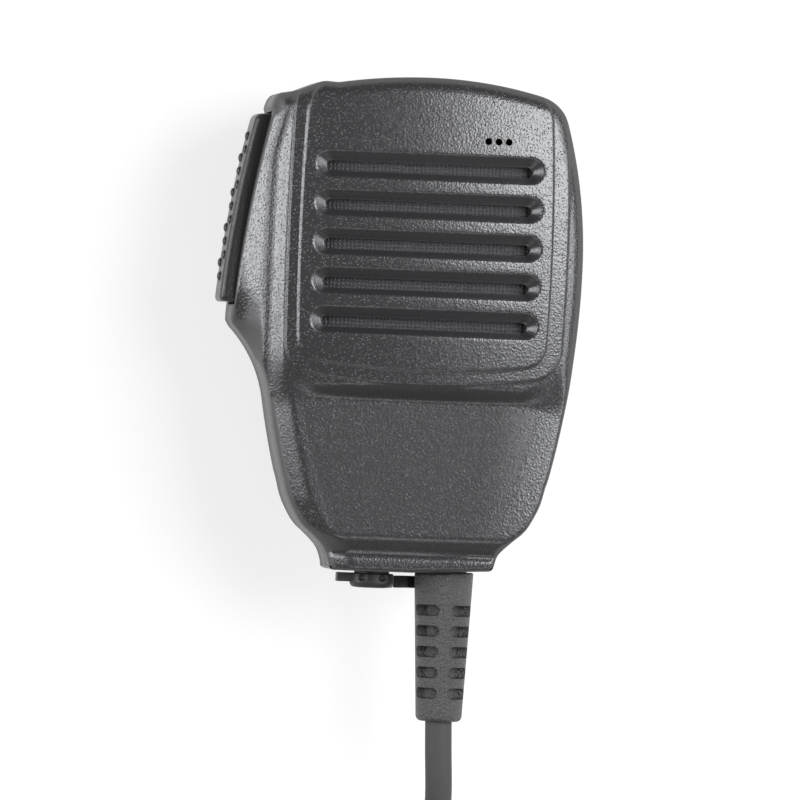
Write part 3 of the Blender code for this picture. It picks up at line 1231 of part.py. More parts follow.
def build_clip():
    washer_low = -SEAT - WASHER_THICKNESS
    inner = SWIVEL_RADIUS + SEAT
    washer = [(inner, washer_low), (WASHER_RADIUS, washer_low), (WASHER_RADIUS, -SEAT), (inner, -SEAT)]
    add("swivel_washer", turned(washer, at=(0, CLIP_Y, 0), segments=24, closed=True), STEEL_LOOK)
    low, high = CLIP_PLATE_LOW_Z, CLIP_PLATE_HIGH_Z
    length = CLIP_PLATE_TOP - CLIP_PLATE_BOTTOM
    mid = CLIP_Y + (CLIP_PLATE_TOP + CLIP_PLATE_BOTTOM) / 2
    outline = rounded(2 * CLIP_HALF_WIDTH, length, 0.0025, 3, (0, mid))
    swivel_at = (0, CLIP_Y, 0)
    plate = add("clip_plate", prism(outline, low, high), CLIP_LOOK, swivel_at)
    pivot_y = CLIP_Y + CLIP_PIVOT_Y
    pivot_z = (CLIP_PLATE_LOW_Z + CLIP_LEVER_HIGH_Z) / 2
    ear_radius = 0.0024
    ears = []
    for side in (-1, 1):
        x0 = side * CLIP_HALF_WIDTH
        x1 = side * (CLIP_HALF_WIDTH - CLIP_EAR_THICKNESS)
        ear = [(pivot_y - ear_radius, low + 0.0005), (pivot_y - ear_radius, pivot_z)]
        ear += arc((pivot_y, pivot_z), ear_radius, math.pi, 2 * math.pi, 8)[1:-1]
        ear += [(pivot_y + ear_radius, pivot_z), (pivot_y + ear_radius, low + 0.0005)]
        ears.append(prism(ear, min(x0, x1), max(x0, x1), "X"))
    boolean(plate, "UNION", merged(*ears), "ears")
    cutters = [turned([(inner, low - 0.001), (inner, high + 0.001)], at=swivel_at, segments=14)]
    bore = CLIP_PIN_RADIUS + SEAT
    ends = CLIP_HALF_WIDTH + 0.001
    cutters.append(turned([(bore, -ends), (bore, ends)], "X", (0, pivot_y, pivot_z), 12))
    boolean(plate, "DIFFERENCE", merged(*cutters), "bores")
    pivot = (0, pivot_y, pivot_z)
    pin = [(CLIP_PIN_RADIUS, -CLIP_HALF_WIDTH), (CLIP_PIN_RADIUS, CLIP_HALF_WIDTH)]
    add("clip_pin", turned(pin, "X", pivot, 12), STEEL_LOOK)
    build_clip_lever(pivot)
    build_clip_spring(pivot)
    shank_top = BOARD_LOW_Z - 0.0014 - SEAT
    head_high = low - SEAT
    screw = [
        (0, head_high - SWIVEL_HEAD_HEIGHT),
        (SWIVEL_HEAD_RADIUS, head_high - SWIVEL_HEAD_HEIGHT + 0.0004),
        (SWIVEL_HEAD_RADIUS, head_high),
        (SWIVEL_RADIUS, head_high),
        (SWIVEL_RADIUS, shank_top),
        (0, shank_top),
    ]
    add("swivel_screw", turned(screw, at=swivel_at, segments=16), STEEL_LOOK)


def build_clip_lever(pivot):
    """The outer jaw: a flat lever, bent at its end to bite on the plate, with two lugs on the pin."""
    low, high = CLIP_LEVER_LOW_Z, CLIP_LEVER_HIGH_Z
    top = CLIP_Y + CLIP_LEVER_TOP
    bottom = CLIP_Y + CLIP_PLATE_BOTTOM - 0.0006
    bite = CLIP_PLATE_LOW_Z - SEAT
    teeth = []
    for i in range(3):
        y = bottom + CLIP_JAW_LENGTH * i / 3
        teeth += [(y + 0.00005, bite), (y + CLIP_JAW_LENGTH / 6, bite - 0.0005)]
    teeth.append((bottom + CLIP_JAW_LENGTH, bite))
    jaw_end = bottom + CLIP_JAW_LENGTH
    side = [(bottom + 0.0008, low), (bottom, low + 0.0008)] + teeth
    side += [(jaw_end + 0.0012, high + 0.0004), (jaw_end + 0.0022, high)]
    side += [(top - 0.0070, high), (top - 0.0010, high + 0.0008), (top, high + 0.0002)]
    side += [(top - 0.0006, low + 0.0006), (top - 0.0024, low)]
    half = CLIP_HALF_WIDTH - CLIP_EAR_THICKNESS - 0.0004
    lever = add("clip_lever", prism(side, -CLIP_HALF_WIDTH, CLIP_HALF_WIDTH, "X"), CLIP_LOOK, pivot)
    lug_radius = 0.0021
    lugs = []
    for sign in (-1, 1):
        outline = [(pivot[1] - lug_radius, high - 0.0005), (pivot[1] - lug_radius, pivot[2])]
        outline += arc(pivot[1:], lug_radius, math.pi, 0, 8)[1:-1]
        outline += [(pivot[1] + lug_radius, pivot[2]), (pivot[1] + lug_radius, high - 0.0005)]
        x0, x1 = sorted((sign * half, sign * (half - 0.0018)))
        lugs.append(prism(outline, x0, x1, "X"))
    boolean(lever, "UNION", merged(*lugs), "lugs")
    bore = CLIP_PIN_RADIUS + SEAT
    ends = half + 0.001
    boolean(lever, "DIFFERENCE", turned([(bore, -ends), (bore, ends)], "X", pivot, 12), "bore")


def build_clip_spring(pivot):
    """A torsion spring around the pin, one leg on the plate and one on the lever."""
    _, y0, z0 = pivot
    turn_pitch = 2.6 * SPRING_WIRE_RADIUS
    radius = SPRING_COIL_RADIUS
    count = 8 * SPRING_TURNS
    start, stop = math.radians(90), math.radians(90) - 2 * math.pi * SPRING_TURNS - math.pi
    points = []
    half = turn_pitch * (SPRING_TURNS + 0.5) / 2
    for i in range(count + 5):
        share = i / (count + 4)
        angle = start + (stop - start) * share
        x = -half + 2 * half * share
        points.append((x, y0 + radius * math.cos(angle), z0 + radius * math.sin(angle)))
    start_leg = (-half, y0 - SPRING_LEG_LENGTH, z0 + radius)
    end_leg = (half, y0 - SPRING_LEG_LENGTH, z0 - radius)
    add_tube("clip_spring", [start_leg] + points + [end_leg], SPRING_WIRE_RADIUS, 1, STEEL_LOOK)


# Cord and plug

FLOOR_Z = CLIP_LEVER_LOW_Z
FLOOR_GAP = 0.00005
CORD_FLOOR_Z = FLOOR_Z + FLOOR_GAP + CORD_RADIUS
COIL_OUTER_RADIUS = COIL_MEAN_RADIUS + COIL_BUNDLE / 2
PLUG_AXIS_Z = FLOOR_Z + FLOOR_GAP + PLUG_GRIP_RADIUS
CORD_PIECES = ("cord", "cord_coil", "cord_lead", "plug_relief", "plug_grip", "plug_pin")
# The cord drops from the boot to the floor and runs up against the coil's right side
CORD_ROUTE = (
    (0.0062, -0.0800, 0.0110),
    (0.0066, -0.0860, 0.0099),
    (0.0071, -0.0925, 0.0066),
    (0.0088, -0.0990, 0.0016),
    (0.0111, -0.1045, -0.0032),
    (0.0130, -0.1093, -0.0064),
)
# From the coil's middle: the lead comes off the top of the coil, down beside it and round to the plug
LEAD_ROUTE = (
    (0.0291, -0.0141, 0.0003),
    (0.0298, -0.0200, -0.0015),
    (0.0297, -0.0265, -0.0040),
    (0.0267, -0.0325, -0.0056),
    (0.0222, -0.0356, -0.0060),
)
PLUG_X = 0.0180
PLUG_Y = -0.0360


def build_cord():
    tangent_x = COIL_X + COIL_OUTER_RADIUS - CORD_RADIUS - 0.00005
    start = (BOOT_X, BOOT_END_Y - SEAT, AXIS_Z)
    end = (tangent_x, COIL_Y + CORD_MEETS_COIL, CORD_FLOOR_Z)
    add_tube("cord", smooth_curve((start, *CORD_ROUTE, end), 3), CORD_RADIUS, 2, CORD_LOOK)
    inner, low = COIL_MEAN_RADIUS - COIL_BUNDLE / 2, FLOOR_Z + FLOOR_GAP
    middle = (COIL_MEAN_RADIUS, low + COIL_BUNDLE / 2)
    section = rounded(COIL_OUTER_RADIUS - inner, COIL_BUNDLE, 0.0030, 2, middle)
    add("cord_coil", turned(section, at=(COIL_X, COIL_Y, 0), segments=24, closed=True), CORD_LOOK)
    lead = [(COIL_X + x, COIL_Y + y, z) for x, y, z in LEAD_ROUTE]
    lead.append((COIL_X + PLUG_X, COIL_Y + PLUG_Y, PLUG_AXIS_Z))
    add_tube("cord_lead", smooth_curve(lead, 3), CORD_RADIUS, 2, CORD_LOOK)


def build_plug():
    """The plug lies beside the coil: its relief, its grip and its pin, end to end towards -X."""
    x, y, z = COIL_X + PLUG_X - SEAT, COIL_Y + PLUG_Y, PLUG_AXIS_Z
    length = PLUG_RELIEF_LENGTH
    relief = [(0, 0), (CORD_RADIUS, 0), (CORD_RADIUS + 0.0010, -length), (0, -length)]
    add("plug_relief", turned(relief, "X", (x, y, z), 12), RUBBER_LOOK)
    x -= PLUG_RELIEF_LENGTH + SEAT
    r, length = PLUG_GRIP_RADIUS, PLUG_GRIP_LENGTH
    grip = [(0, 0), (r - 0.0008, 0), (r, -0.0012), (r, 0.0010 - length)]
    grip += [(r - 0.0010, -length), (0, -length)]
    add("plug_grip", turned(grip, "X", (x, y, z), 16), RUBBER_LOOK)
    x -= PLUG_GRIP_LENGTH + SEAT
    r, length = PLUG_PIN_RADIUS, PLUG_PIN_LENGTH
    pin = [(0, 0), (1.5 * r, 0), (1.5 * r, -0.0012), (r, -0.0012), (r, 0.0032 - length)]
    pin += [(0.7 * r, 0.0026 - length), (0.95 * r, 0.0016 - length), (0.3 * r, -length), (0, -length)]
    add("plug_pin", turned(pin, "X", (x, y, z), 14), STEEL_LOOK)


def stand_on_clip():
    """Set the middle of the microphone itself, without its cord, over the origin, and its clip on z = 0."""
    bpy.context.view_layer.update()
    graph = bpy.context.evaluated_depsgraph_get()
    places = []
    for obj in HANDSET.children:
        if not obj.hide_render and obj.name not in CORD_PIECES:
            whole = obj.evaluated_get(graph)
            places += [whole.matrix_world @ vertex.co for vertex in whole.to_mesh().vertices]
            whole.to_mesh_clear()
    x, y, _ = (np.array(places).min(axis=0) + np.array(places).max(axis=0)) / 2
    HANDSET.location = (-x, -y, -FLOOR_Z)


SHELL_LOOK = material("case plastic", (0.030, 0.030, 0.032), 0.42)
RUBBER_LOOK = material("black rubber", (0.022, 0.022, 0.023), 0.60)
BOOT_LOOK = material("boot rubber", (0.028, 0.026, 0.026), 0.62)
CLIP_LOOK = material("clip plastic", (0.025, 0.025, 0.027), 0.45)
CORD_LOOK = material("cord jacket", (0.035, 0.035, 0.037), 0.45)
DARK_LOOK = material("black plastic", (0.015, 0.015, 0.016), 0.50)
CLOTH_LOOK = material("grille cloth", (0.010, 0.010, 0.010), 0.95)
STEEL_LOOK = material("plated steel", (0.60, 0.60, 0.62), 0.30, 1.0)
BOARD_LOOK = material("circuit board", (0.020, 0.110, 0.050), 0.50)
IVORY_LOOK = material("ivory plastic", (0.75, 0.72, 0.63), 0.50)
HELPER_LOOK = material("helper", (0.80, 0.20, 0.80), 0.80)

HANDSET = bpy.data.objects.new("handset", None)
bpy.context.scene.collection.objects.link(HANDSET)

build_front_case()
build_rear_case()
build_case_screws()
build_key()
build_switch()
build_speaker()
build_capsule()
build_board()
build_jack()
build_cap()
build_strain_relief()
build_clip()
build_cord()
build_plug()
stand_on_clip()
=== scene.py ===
"""Looks of the hand microphone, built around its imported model: case shells with a louvred grille,
the push-to-talk key, the earphone jack's cap, the strain relief, the belt clip, and the cord with its
coil and plug. Sizes are metres. Shapes are worked out in the case's own frame, x = 0 on the grille's
centre line, y = 0 near the middle louvre, z = 0 on the flat back, and moved to their place at the end."""
import math

import bmesh
import bpy
import numpy as np
from mathutils import Matrix, Vector


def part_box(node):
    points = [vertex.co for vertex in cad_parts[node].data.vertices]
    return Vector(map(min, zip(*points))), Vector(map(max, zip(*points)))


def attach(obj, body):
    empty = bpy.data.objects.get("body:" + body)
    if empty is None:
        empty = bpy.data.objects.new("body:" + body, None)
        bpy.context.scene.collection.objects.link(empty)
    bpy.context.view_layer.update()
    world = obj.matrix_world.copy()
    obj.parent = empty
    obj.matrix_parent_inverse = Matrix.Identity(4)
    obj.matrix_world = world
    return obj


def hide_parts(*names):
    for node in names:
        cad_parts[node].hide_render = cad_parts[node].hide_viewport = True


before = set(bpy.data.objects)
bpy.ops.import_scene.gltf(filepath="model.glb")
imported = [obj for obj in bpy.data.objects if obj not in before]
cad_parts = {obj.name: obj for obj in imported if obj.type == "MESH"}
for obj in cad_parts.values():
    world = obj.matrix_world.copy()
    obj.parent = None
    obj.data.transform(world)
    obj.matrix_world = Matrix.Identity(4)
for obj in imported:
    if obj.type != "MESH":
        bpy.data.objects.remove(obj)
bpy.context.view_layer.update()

MM = 0.001

# Clearance between pieces that touch or seat in each other
SEAT = 0.0003

# Case, in plan
CASE_HALF_WIDTH = 0.02536
WAIST_Y = -0.0020
UPPER_SIDE_RADIUS = 0.081
LOWER_SIDE_RADIUS = 0.143
TOP_Y = 0.0267
TOP_RADIUS = 0.071
TOP_LEFT_RADIUS = 0.086
TOP_CORNER_RADIUS = 0.0062
BOTTOM_Y = -0.0518
BOTTOM_TILT = 0.05
NECK_HALF_WIDTH = 0.0131
CHIN_HEIGHT = 0.0083
CHIN_WIDTH = 0.0054

# Case, in depth
CROWN_Z = 0.0250
CROWN_RADIUS_X = 0.115
CROWN_RADIUS_Y = 0.250
CROWN_Y = 0.0020
PARTING_Z = 0.01135
WALL = 0.0020
BACK_EDGE_RADIUS = 0.0030
TOP_EDGE_RADIUS = 0.0025
SIDE_EDGE_RADIUS = 0.0025
NECK_EDGE_RADIUS = 0.0010
LABEL_Z = 0.0205
STEP_TOP_Y = -0.0219
STEP_LENGTH = 0.0030
SIDE_CHAMFER_WIDTH = 0.0038
SIDE_CHAMFER_DROP = 0.00145
LABEL_SIDE_RADIUS = 0.095
SCOOP_LENGTH = 0.0036
SCOOP_DROP = 0.0020
RIM_HEIGHT = 0.0023
RIM_RISE = 0.0005

# Raised band and panel on the front
PANEL_STEP = 0.0003
BAND_STEP = 0.0003
PANEL_HALF_WIDTH = 0.01995
PANEL_BOTTOM_Y = -0.0198
PANEL_CORNER_RADIUS = 0.0038
BAND_WIDTH = 0.0026
BAND_BOTTOM_Y = -0.0220
BAND_CORNER_RADIUS = 0.0052
PANEL_LEFT_WIDTH = 0.0203
BAND_LEFT_WIDTH = 0.02205
OUTLINE_SOFTNESS = 0.00022
BAND_LOWER_SHARE = 0.889
PANEL_SIDE_RADIUS = 0.40
PANEL_SAG_RADIUS = 0.121

# Louvres
SLOT_COUNT = 5
SLOT_PITCH = 0.00615
SLOT_TOP_Y = 0.0125
SLOT_MIDDLES = [SLOT_TOP_Y - i * SLOT_PITCH for i in range(SLOT_COUNT)]
SLOT_LENGTH = 0.0364
SLOT_HEIGHT = 0.0043
SLOT_DEPTH = 0.0013
SLIT_LENGTH = 0.0328
SLIT_HEIGHT = 0.0017
SLIT_OFFSET = -0.0003

# Microphone holes
MIC_HOLE_X = 0.01065
MIC_HOLE_Y = 0.0169
MIC_HOLE_PITCH = 0.00165
MIC_HOLE_RADIUS = 0.00055

# Push-to-talk housing and key
FLANGE_TOP_X = -0.02475
FLANGE_TOP_Y = 0.0206
TIP_X = -0.0299
TIP_Y = -0.0131
FLANGE_ARC_RADIUS = 0.20
STRIP_SLOPE = 0.75
VALLEY_HALF_WIDTH = 0.00055
FLANGE_EDGE_Z = 0.01755
FLANGE_SLOPE = 0.80
FLANGE_LIP_SLOPE = 0.20
FLANGE_EDGE_RADIUS = 0.0004
STRIP_START = 0.0004
SHARP_BEND = 0.0001
SOFT_BEND = 0.0004
FAIRING_FOOT_Y = -0.0250
FAIRING_DROP = 0.0056
EAR_HEIGHT = 0.0022
# Points along the ear's top, from its outer end
EAR_TOP = (
    (0.0004, 0.0),
    (0.0010, 0.0006),
    (0.0020, 0.0008),
    (0.0038, 0.0012),
    (0.0057, 0.0020),
    (0.0076, 0.0027),
)
KEY_TOP_Y = 0.0201
KEY_BOTTOM_Y = -0.0099
KEY_LOW_Z = 0.0063
KEY_HIGH_Z = 0.0160
KEY_PROUD = 0.00235
KEY_DEPTH = 0.0050
KEY_EDGE_RADIUS = 0.0010
DOT_RADIUS = 0.00078
DOT_HEIGHT = 0.00048
DOT_PITCH = 0.0056
DOT_TOP_Y = 0.0165
DOT_COUNT = 5
DOT_STAGGER = 0.0006
DOT_LINE_GAP = 0.0023

# Screws
SCREW_PLACES = ((-0.0165, 0.0185), (0.0180, 0.0172), (-0.0148, -0.0398), (0.0152, -0.0395))
SCREW_SHANK_RADIUS = 0.0011
SCREW_HEAD_RADIUS = 0.0023
SCREW_HEAD_HEIGHT = 0.0014
SCREW_LENGTH = 0.0150
SCREW_SUNK = 0.0002
SCREW_BOSS_RADIUS = 0.0031

# Earphone jack's cap and the strain relief
JACK_X = -0.0056
CAP_RADIUS = 0.0035
CAP_HEIGHT = 0.0023
STRAP_STEM_RADIUS = 0.0010
STRAP_ANCHOR_X = 0.0030
STRAP_ANCHOR_Z = 0.0050
BOOT_X = 0.0060
BOOT_TOP_RADIUS = 0.0047
BOOT_END_RADIUS = 0.00365
BOOT_LENGTH = 0.0233
BOOT_NECK_RADIUS = 0.0036
BOOT_ROWS = 5
BOOT_ROW_TOP = 0.0056
BOOT_ROW_PITCH = 0.0033
BOOT_POCKET_HEIGHT = 0.00165
BOOT_RIB_DEG = 26.0
BOOT_CORE_RADIUS = 0.0026
BOOT_LIP = 0.00012
BOOT_TOP_EDGE = 0.0003
BOOT_END_EDGE = 0.0009

# Cord and its coil
CORD_RADIUS = 0.00215
COIL_MEAN_RADIUS = 0.0235
COIL_PITCH = 0.0044
COIL_X = -0.0140
COIL_Y = -0.1300

AXIS_Z = PARTING_Z - SEAT / 2
BOOT_TOP_Y = BOTTOM_Y - SEAT
BOOT_END_Y = BOOT_TOP_Y - BOOT_LENGTH
SIDE_START_Y = BOTTOM_Y + CHIN_HEIGHT + 0.0070
LOW_ROW_Y = BOTTOM_Y + 0.0009
HIGH_ROW_Y = 0.0225
# Heights above which the rows bend to follow the top edge
FRONT_BEND_Y = 0.0156
CAVITY_BEND_Y = 0.0085
BACK_BEND_Y = HIGH_ROW_Y - 0.012

# The case frame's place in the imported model
CASE_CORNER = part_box("front_case")[1]
ORIGIN = Vector((CASE_CORNER.x - CASE_HALF_WIDTH, CASE_CORNER.y - TOP_Y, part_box("rear_case")[0].z))


# Lines and heights that the case is drawn on


def arc(centre, radius, start, end, count):
    """Points along a circle's arc, from one angle to another."""
    angles = np.linspace(start, end, count)
    return [(centre[0] + radius * math.cos(a), centre[1] + radius * math.sin(a)) for a in angles]


def side_arc(y):
    """The case's half width where its side is one of the two long arcs that meet at the waist."""
    radius = np.where(np.asarray(y) > WAIST_Y, UPPER_SIDE_RADIUS, LOWER_SIDE_RADIUS)
    return CASE_HALF_WIDTH - radius + np.sqrt(radius**2 - (np.asarray(y) - WAIST_Y) ** 2)


def smooth_step(value, low, high):
    t = np.clip((value - low) / (high - low), 0.0, 1.0)
    return t * t * (3 - 2 * t)


def rounding(distance, radius):
    """How far a rounded edge has dropped at this distance inside it."""
    inside = np.clip(radius - distance, 0.0, radius)
    return radius - np.sqrt(np.maximum(radius**2 - inside**2, 0.0))


def edge_offsets(radius, count):
    """Distances from an edge at which rows lie evenly round its rounding."""
    return radius * (1 - np.cos(np.linspace(0, math.pi / 2, count)))


def smooth_curve(points, count=8):
    """A Catmull-Rom curve through a few points, as a list of points."""
    ends = [np.array(p, float) for p in points]
    ends = [2 * ends[0] - ends[1]] + ends + [2 * ends[-1] - ends[-2]]
    found = []
    for a, b, c, d in zip(ends, ends[1:], ends[2:], ends[3:]):
        for t in np.arange(count) / count:
            straight = 2 * b + (c - a) * t
            bent = (2 * a - 5 * b + 4 * c - d) * t**2 + (3 * b - a - 3 * c + d) * t**3
            found.append(0.5 * (straight + bent))
    return found + [ends[-2]]


def chin():
    """The right edge from the neck's corner up to where the long side arc takes over."""
    heights = (0.0010, 0.0027, 0.0038, 0.0054, 0.0068, CHIN_HEIGHT)
    shares = (-0.02, 0.08, 0.20, 0.49, 0.79, 1.0)
    points = [(NECK_HALF_WIDTH + CHIN_WIDTH * s, BOTTOM_Y + h) for h, s in zip(heights, shares)]
    above = BOTTOM_Y + CHIN_HEIGHT + np.array([0.0030, 0.0060])
    points += [(float(side_arc(y)) - 0.0001, float(y)) for y in above]
    return smooth_curve(points)


def top_corner():
    """Centre of the circle that rounds the side arc into the top arc."""
    side = Vector((CASE_HALF_WIDTH - UPPER_SIDE_RADIUS, WAIST_Y))
    top = Vector((0, TOP_Y - TOP_RADIUS))
    a, b = UPPER_SIDE_RADIUS - TOP_CORNER_RADIUS, TOP_RADIUS - TOP_CORNER_RADIUS
    between = top - side
    along = (a * a - b * b + between.length_squared) / (2 * between.length)
    across = math.sqrt(a * a - along * along)
    unit = between.normalized()
    return side + unit * along + Vector((-unit.y, unit.x)) * across


def right_edge():
    """The case's right edge from the neck up to the middle of the top."""
    centre = top_corner()
    side = Vector((CASE_HALF_WIDTH - UPPER_SIDE_RADIUS, WAIST_Y))
    top = Vector((0, TOP_Y - TOP_RADIUS))
    low, high = math.atan2(*reversed(centre - side)), math.atan2(*reversed(centre - top))
    meet = centre.y + TOP_CORNER_RADIUS * math.sin(low)
    points = chin()
    points += [(float(side_arc(y)), float(y)) for y in np.linspace(SIDE_START_Y, meet, 60)]
    points += arc(centre, TOP_CORNER_RADIUS, low, high, 24)[1:]
    points += arc(top, TOP_RADIUS, high, math.pi / 2, 30)[1:]
    return np.array([tuple(p)[:2] for p in points])


def fairing():
    """Foot, outward direction and radius of the hollow arc from the lower side to the housing's tip."""
    foot = Vector((-float(side_arc(FAIRING_FOOT_Y)), FAIRING_FOOT_Y))
    run = math.sqrt(LOWER_SIDE_RADIUS**2 - (FAIRING_FOOT_Y - WAIST_Y) ** 2)
    outward = Vector((-1, -(WAIST_Y - FAIRING_FOOT_Y) / run)).normalized()
    reach = Vector((TIP_X, TIP_Y)) - foot
    return foot, outward, reach.length_squared / (2 * reach.dot(outward))


def flange_centre():
    """Centre of the long arc that the key housing's flange follows."""
    top, tip = Vector((FLANGE_TOP_X, FLANGE_TOP_Y)), Vector((TIP_X, TIP_Y))
    chord = tip - top
    inward = Vector((-chord.y, chord.x)).normalized()
    return (top + tip) / 2 + inward * math.sqrt(FLANGE_ARC_RADIUS**2 - chord.length_squared / 4)


def left_edge():
    """The case's left edge: lower side, hollow fairing, key housing with its ear, and the top."""
    foot, outward, radius = fairing()
    points = [(-x, y) for x, y in chin()]
    points += [(-float(side_arc(y)), float(y)) for y in np.linspace(SIDE_START_Y, FAIRING_FOOT_Y, 24)]
    centre = foot + outward * radius
    low = math.atan2(*reversed(foot - centre))
    high = math.atan2(TIP_Y - centre.y, TIP_X - centre.x)
    points += arc(centre, radius, low, high - 0.02, 24)[1:]
    middle = flange_centre()
    low = math.atan2(TIP_Y - middle.y, TIP_X - middle.x) % (2 * math.pi)
    high = math.atan2(FLANGE_TOP_Y - middle.y, FLANGE_TOP_X - middle.x) % (2 * math.pi)
    points += arc(middle, FLANGE_ARC_RADIUS, low - 0.0025, high, 30)
    shoulder = TOP_Y - TOP_LEFT_RADIUS
    x, y = FLANGE_TOP_X + 0.0100, FLANGE_TOP_Y + EAR_HEIGHT
    ear = [(FLANGE_TOP_X - 0.0002, FLANGE_TOP_Y + 0.25 * EAR_HEIGHT)]
    ear += [(FLANGE_TOP_X, FLANGE_TOP_Y + 0.60 * EAR_HEIGHT)]
    ear += [(FLANGE_TOP_X + across, y + up) for across, up in EAR_TOP]
    ear += [(x, shoulder + math.sqrt(TOP_LEFT_RADIUS**2 - x**2))]
    points += smooth_curve(ear, 8)
    angle = math.atan2(ear[-1][1] - shoulder, ear[-1][0])
    points += arc((0, shoulder), TOP_LEFT_RADIUS, angle, math.pi / 2, 20)[1:]
    return np.array([tuple(p)[:2] for p in points])


RIGHT_EDGE = right_edge()
LEFT_EDGE = left_edge()
LEFT_LOW_Y = np.linspace(-0.040, FAIRING_FOOT_Y, 30)


def side_x(edge, y):
    """How far across an edge of the case lies at the heights y, up to the highest row."""
    side = edge[: np.argmax(edge[:, 1] > HIGH_ROW_Y) + 1]
    return np.interp(y, side[:, 1], side[:, 0])


def right_side(y):
    return side_x(RIGHT_EDGE, y)


def left_side(y):
    return side_x(LEFT_EDGE, y)


def top_edge(x):
    """The height of the case's top edge, over the whole width."""
    left, right = (edge[np.argmax(edge[:, 1] > HIGH_ROW_Y) - 1 :] for edge in (LEFT_EDGE, RIGHT_EDGE))
    across = np.concatenate([left, right[::-1][1:]])
    return np.interp(x, across[:, 0], across[:, 1])


def bottom_edge(x):
    """The neck's lower edge, a little higher towards the right, with a small turn up at its corners."""
    corner = rounding(NECK_HALF_WIDTH - np.abs(x), NECK_EDGE_RADIUS)
    return BOTTOM_Y + BOTTOM_TILT * np.clip(x, 0, None) + 0.8 * corner


def distance_to_line(x, y, line):
    """Distance of every point from a line through the given points."""
    nearest = np.ones(np.broadcast(x, y).shape)
    for (ax, ay), (bx, by) in zip(line, line[1:]):
        dx, dy = bx - ax, by - ay
        along = np.clip(((x - ax) * dx + (y - ay) * dy) / (dx * dx + dy * dy), 0, 1)
        nearest = np.minimum(nearest, np.hypot(x - ax - along * dx, y - ay - along * dy))
    return nearest


def neck_line():
    across = np.linspace(-NECK_HALF_WIDTH, NECK_HALF_WIDTH, 41)
    return np.stack([across, bottom_edge(across)], axis=1)


def distance_to_edge(x, y):
    """Distance to the case's top and right edges and its lower left side, without the key housing."""
    lines = (
        neck_line(),
        RIGHT_EDGE,
        LEFT_EDGE[LEFT_EDGE[:, 1] > HIGH_ROW_Y - 0.001],
        np.stack([-side_arc(LEFT_LOW_Y), LEFT_LOW_Y], axis=1),
        LEFT_EDGE[LEFT_EDGE[:, 1] < -0.0398],
    )
    return np.min([distance_to_line(x, y, line) for line in lines], axis=0)


def crown(x, y):
    """The domed front, level with the raised panel."""
    return CROWN_Z - x**2 / (2 * CROWN_RADIUS_X) - (y - CROWN_Y) ** 2 / (2 * CROWN_RADIUS_Y)


def edge_radius(x, y):
    top = TOP_EDGE_RADIUS - 0.0004 * smooth_step(-x, 0.0200, 0.0240)
    upper = SIDE_EDGE_RADIUS + (top - SIDE_EDGE_RADIUS) * smooth_step(y, 0.015, 0.023)
    return NECK_EDGE_RADIUS + (upper - NECK_EDGE_RADIUS) * smooth_step(y, -0.026, -0.016)


def valley_x(y):
    """The soft valley between the strip beside the band and the key housing's flange."""
    return -0.02478 + (y + 0.005) ** 2 + 0.0014 * smooth_step(y, 0.012, 0.022)


def ramp(distance, soft):
    """A slope of one that starts softly at zero."""
    return 0.5 * (distance + np.sqrt(distance**2 + soft**2))


def upper_front(x, y, edge):
    """The grille half of the front: domed, rounded at its edges, sloping to the housing's flange."""
    level = crown(x, y) - PANEL_STEP - BAND_STEP
    over = rounding(edge, edge_radius(x, y))
    start = half_width(y, BAND_LEFT_WIDTH) + STRIP_START
    valley = valley_x(y)
    lean = -valley / CROWN_RADIUS_X
    strip = np.maximum(-valley - start - VALLEY_HALF_WIDTH, 0.0)
    flange = -valley - start + VALLEY_HALF_WIDTH
    run = np.maximum(-left_side(y) - start - flange, 0.0004)
    fall = crown(valley, y) - PANEL_STEP - BAND_STEP - STRIP_SLOPE * strip - FLANGE_EDGE_Z
    steep = np.clip((fall - FLANGE_LIP_SLOPE * run) / (FLANGE_SLOPE - FLANGE_LIP_SLOPE), 0, run)
    out = -x - start
    left = level - STRIP_SLOPE * (ramp(out, SHARP_BEND) - ramp(out - strip, SOFT_BEND))
    left = left - (FLANGE_SLOPE - lean) * ramp(out - flange, SOFT_BEND)
    left = left + (FLANGE_SLOPE - FLANGE_LIP_SLOPE) * ramp(out - flange - steep, SOFT_BEND)
    left = left - rounding(x - left_side(y), FLANGE_EDGE_RADIUS) - over * (y > 0.010)
    reach = np.clip((out - flange) / run, 0, 1)
    sink = FAIRING_DROP * smooth_step(-y, 0.0070, 0.0195) * smooth_step(y, FAIRING_FOOT_Y, -0.0185)
    left = left - sink * reach**1.1
    blend = smooth_step(-x, 0.0190, 0.0205)
    return level - over + (left - level + over) * blend


def lower_front(x, y, edge):
    """The flat lower half, chamfered to its sides, with a scoop above the neck's rim."""
    rim_y = BOTTOM_Y + RIM_HEIGHT
    scoop = SCOOP_DROP * smooth_step(rim_y + SCOOP_LENGTH - y, 0, SCOOP_LENGTH)
    rim = RIM_RISE * smooth_step(rim_y + 0.0006 - y, 0, 0.0008)
    on_chin = y < BOTTOM_Y + CHIN_HEIGHT + 0.002
    side = np.where(on_chin | (x > 0), right_side(y), side_arc(y))
    width = np.minimum(SIDE_CHAMFER_WIDTH, 0.5 * side)
    left = SIDE_CHAMFER_DROP * smooth_step(np.abs(x), side - width, side + 0.25 * width) / 0.8
    right = np.clip(x - 0.50 * side, 0, None) ** 2 / (2 * LABEL_SIDE_RADIUS)
    return LABEL_Z - scoop + rim - np.where(x > 0, right, left) - rounding(edge, NECK_EDGE_RADIUS)


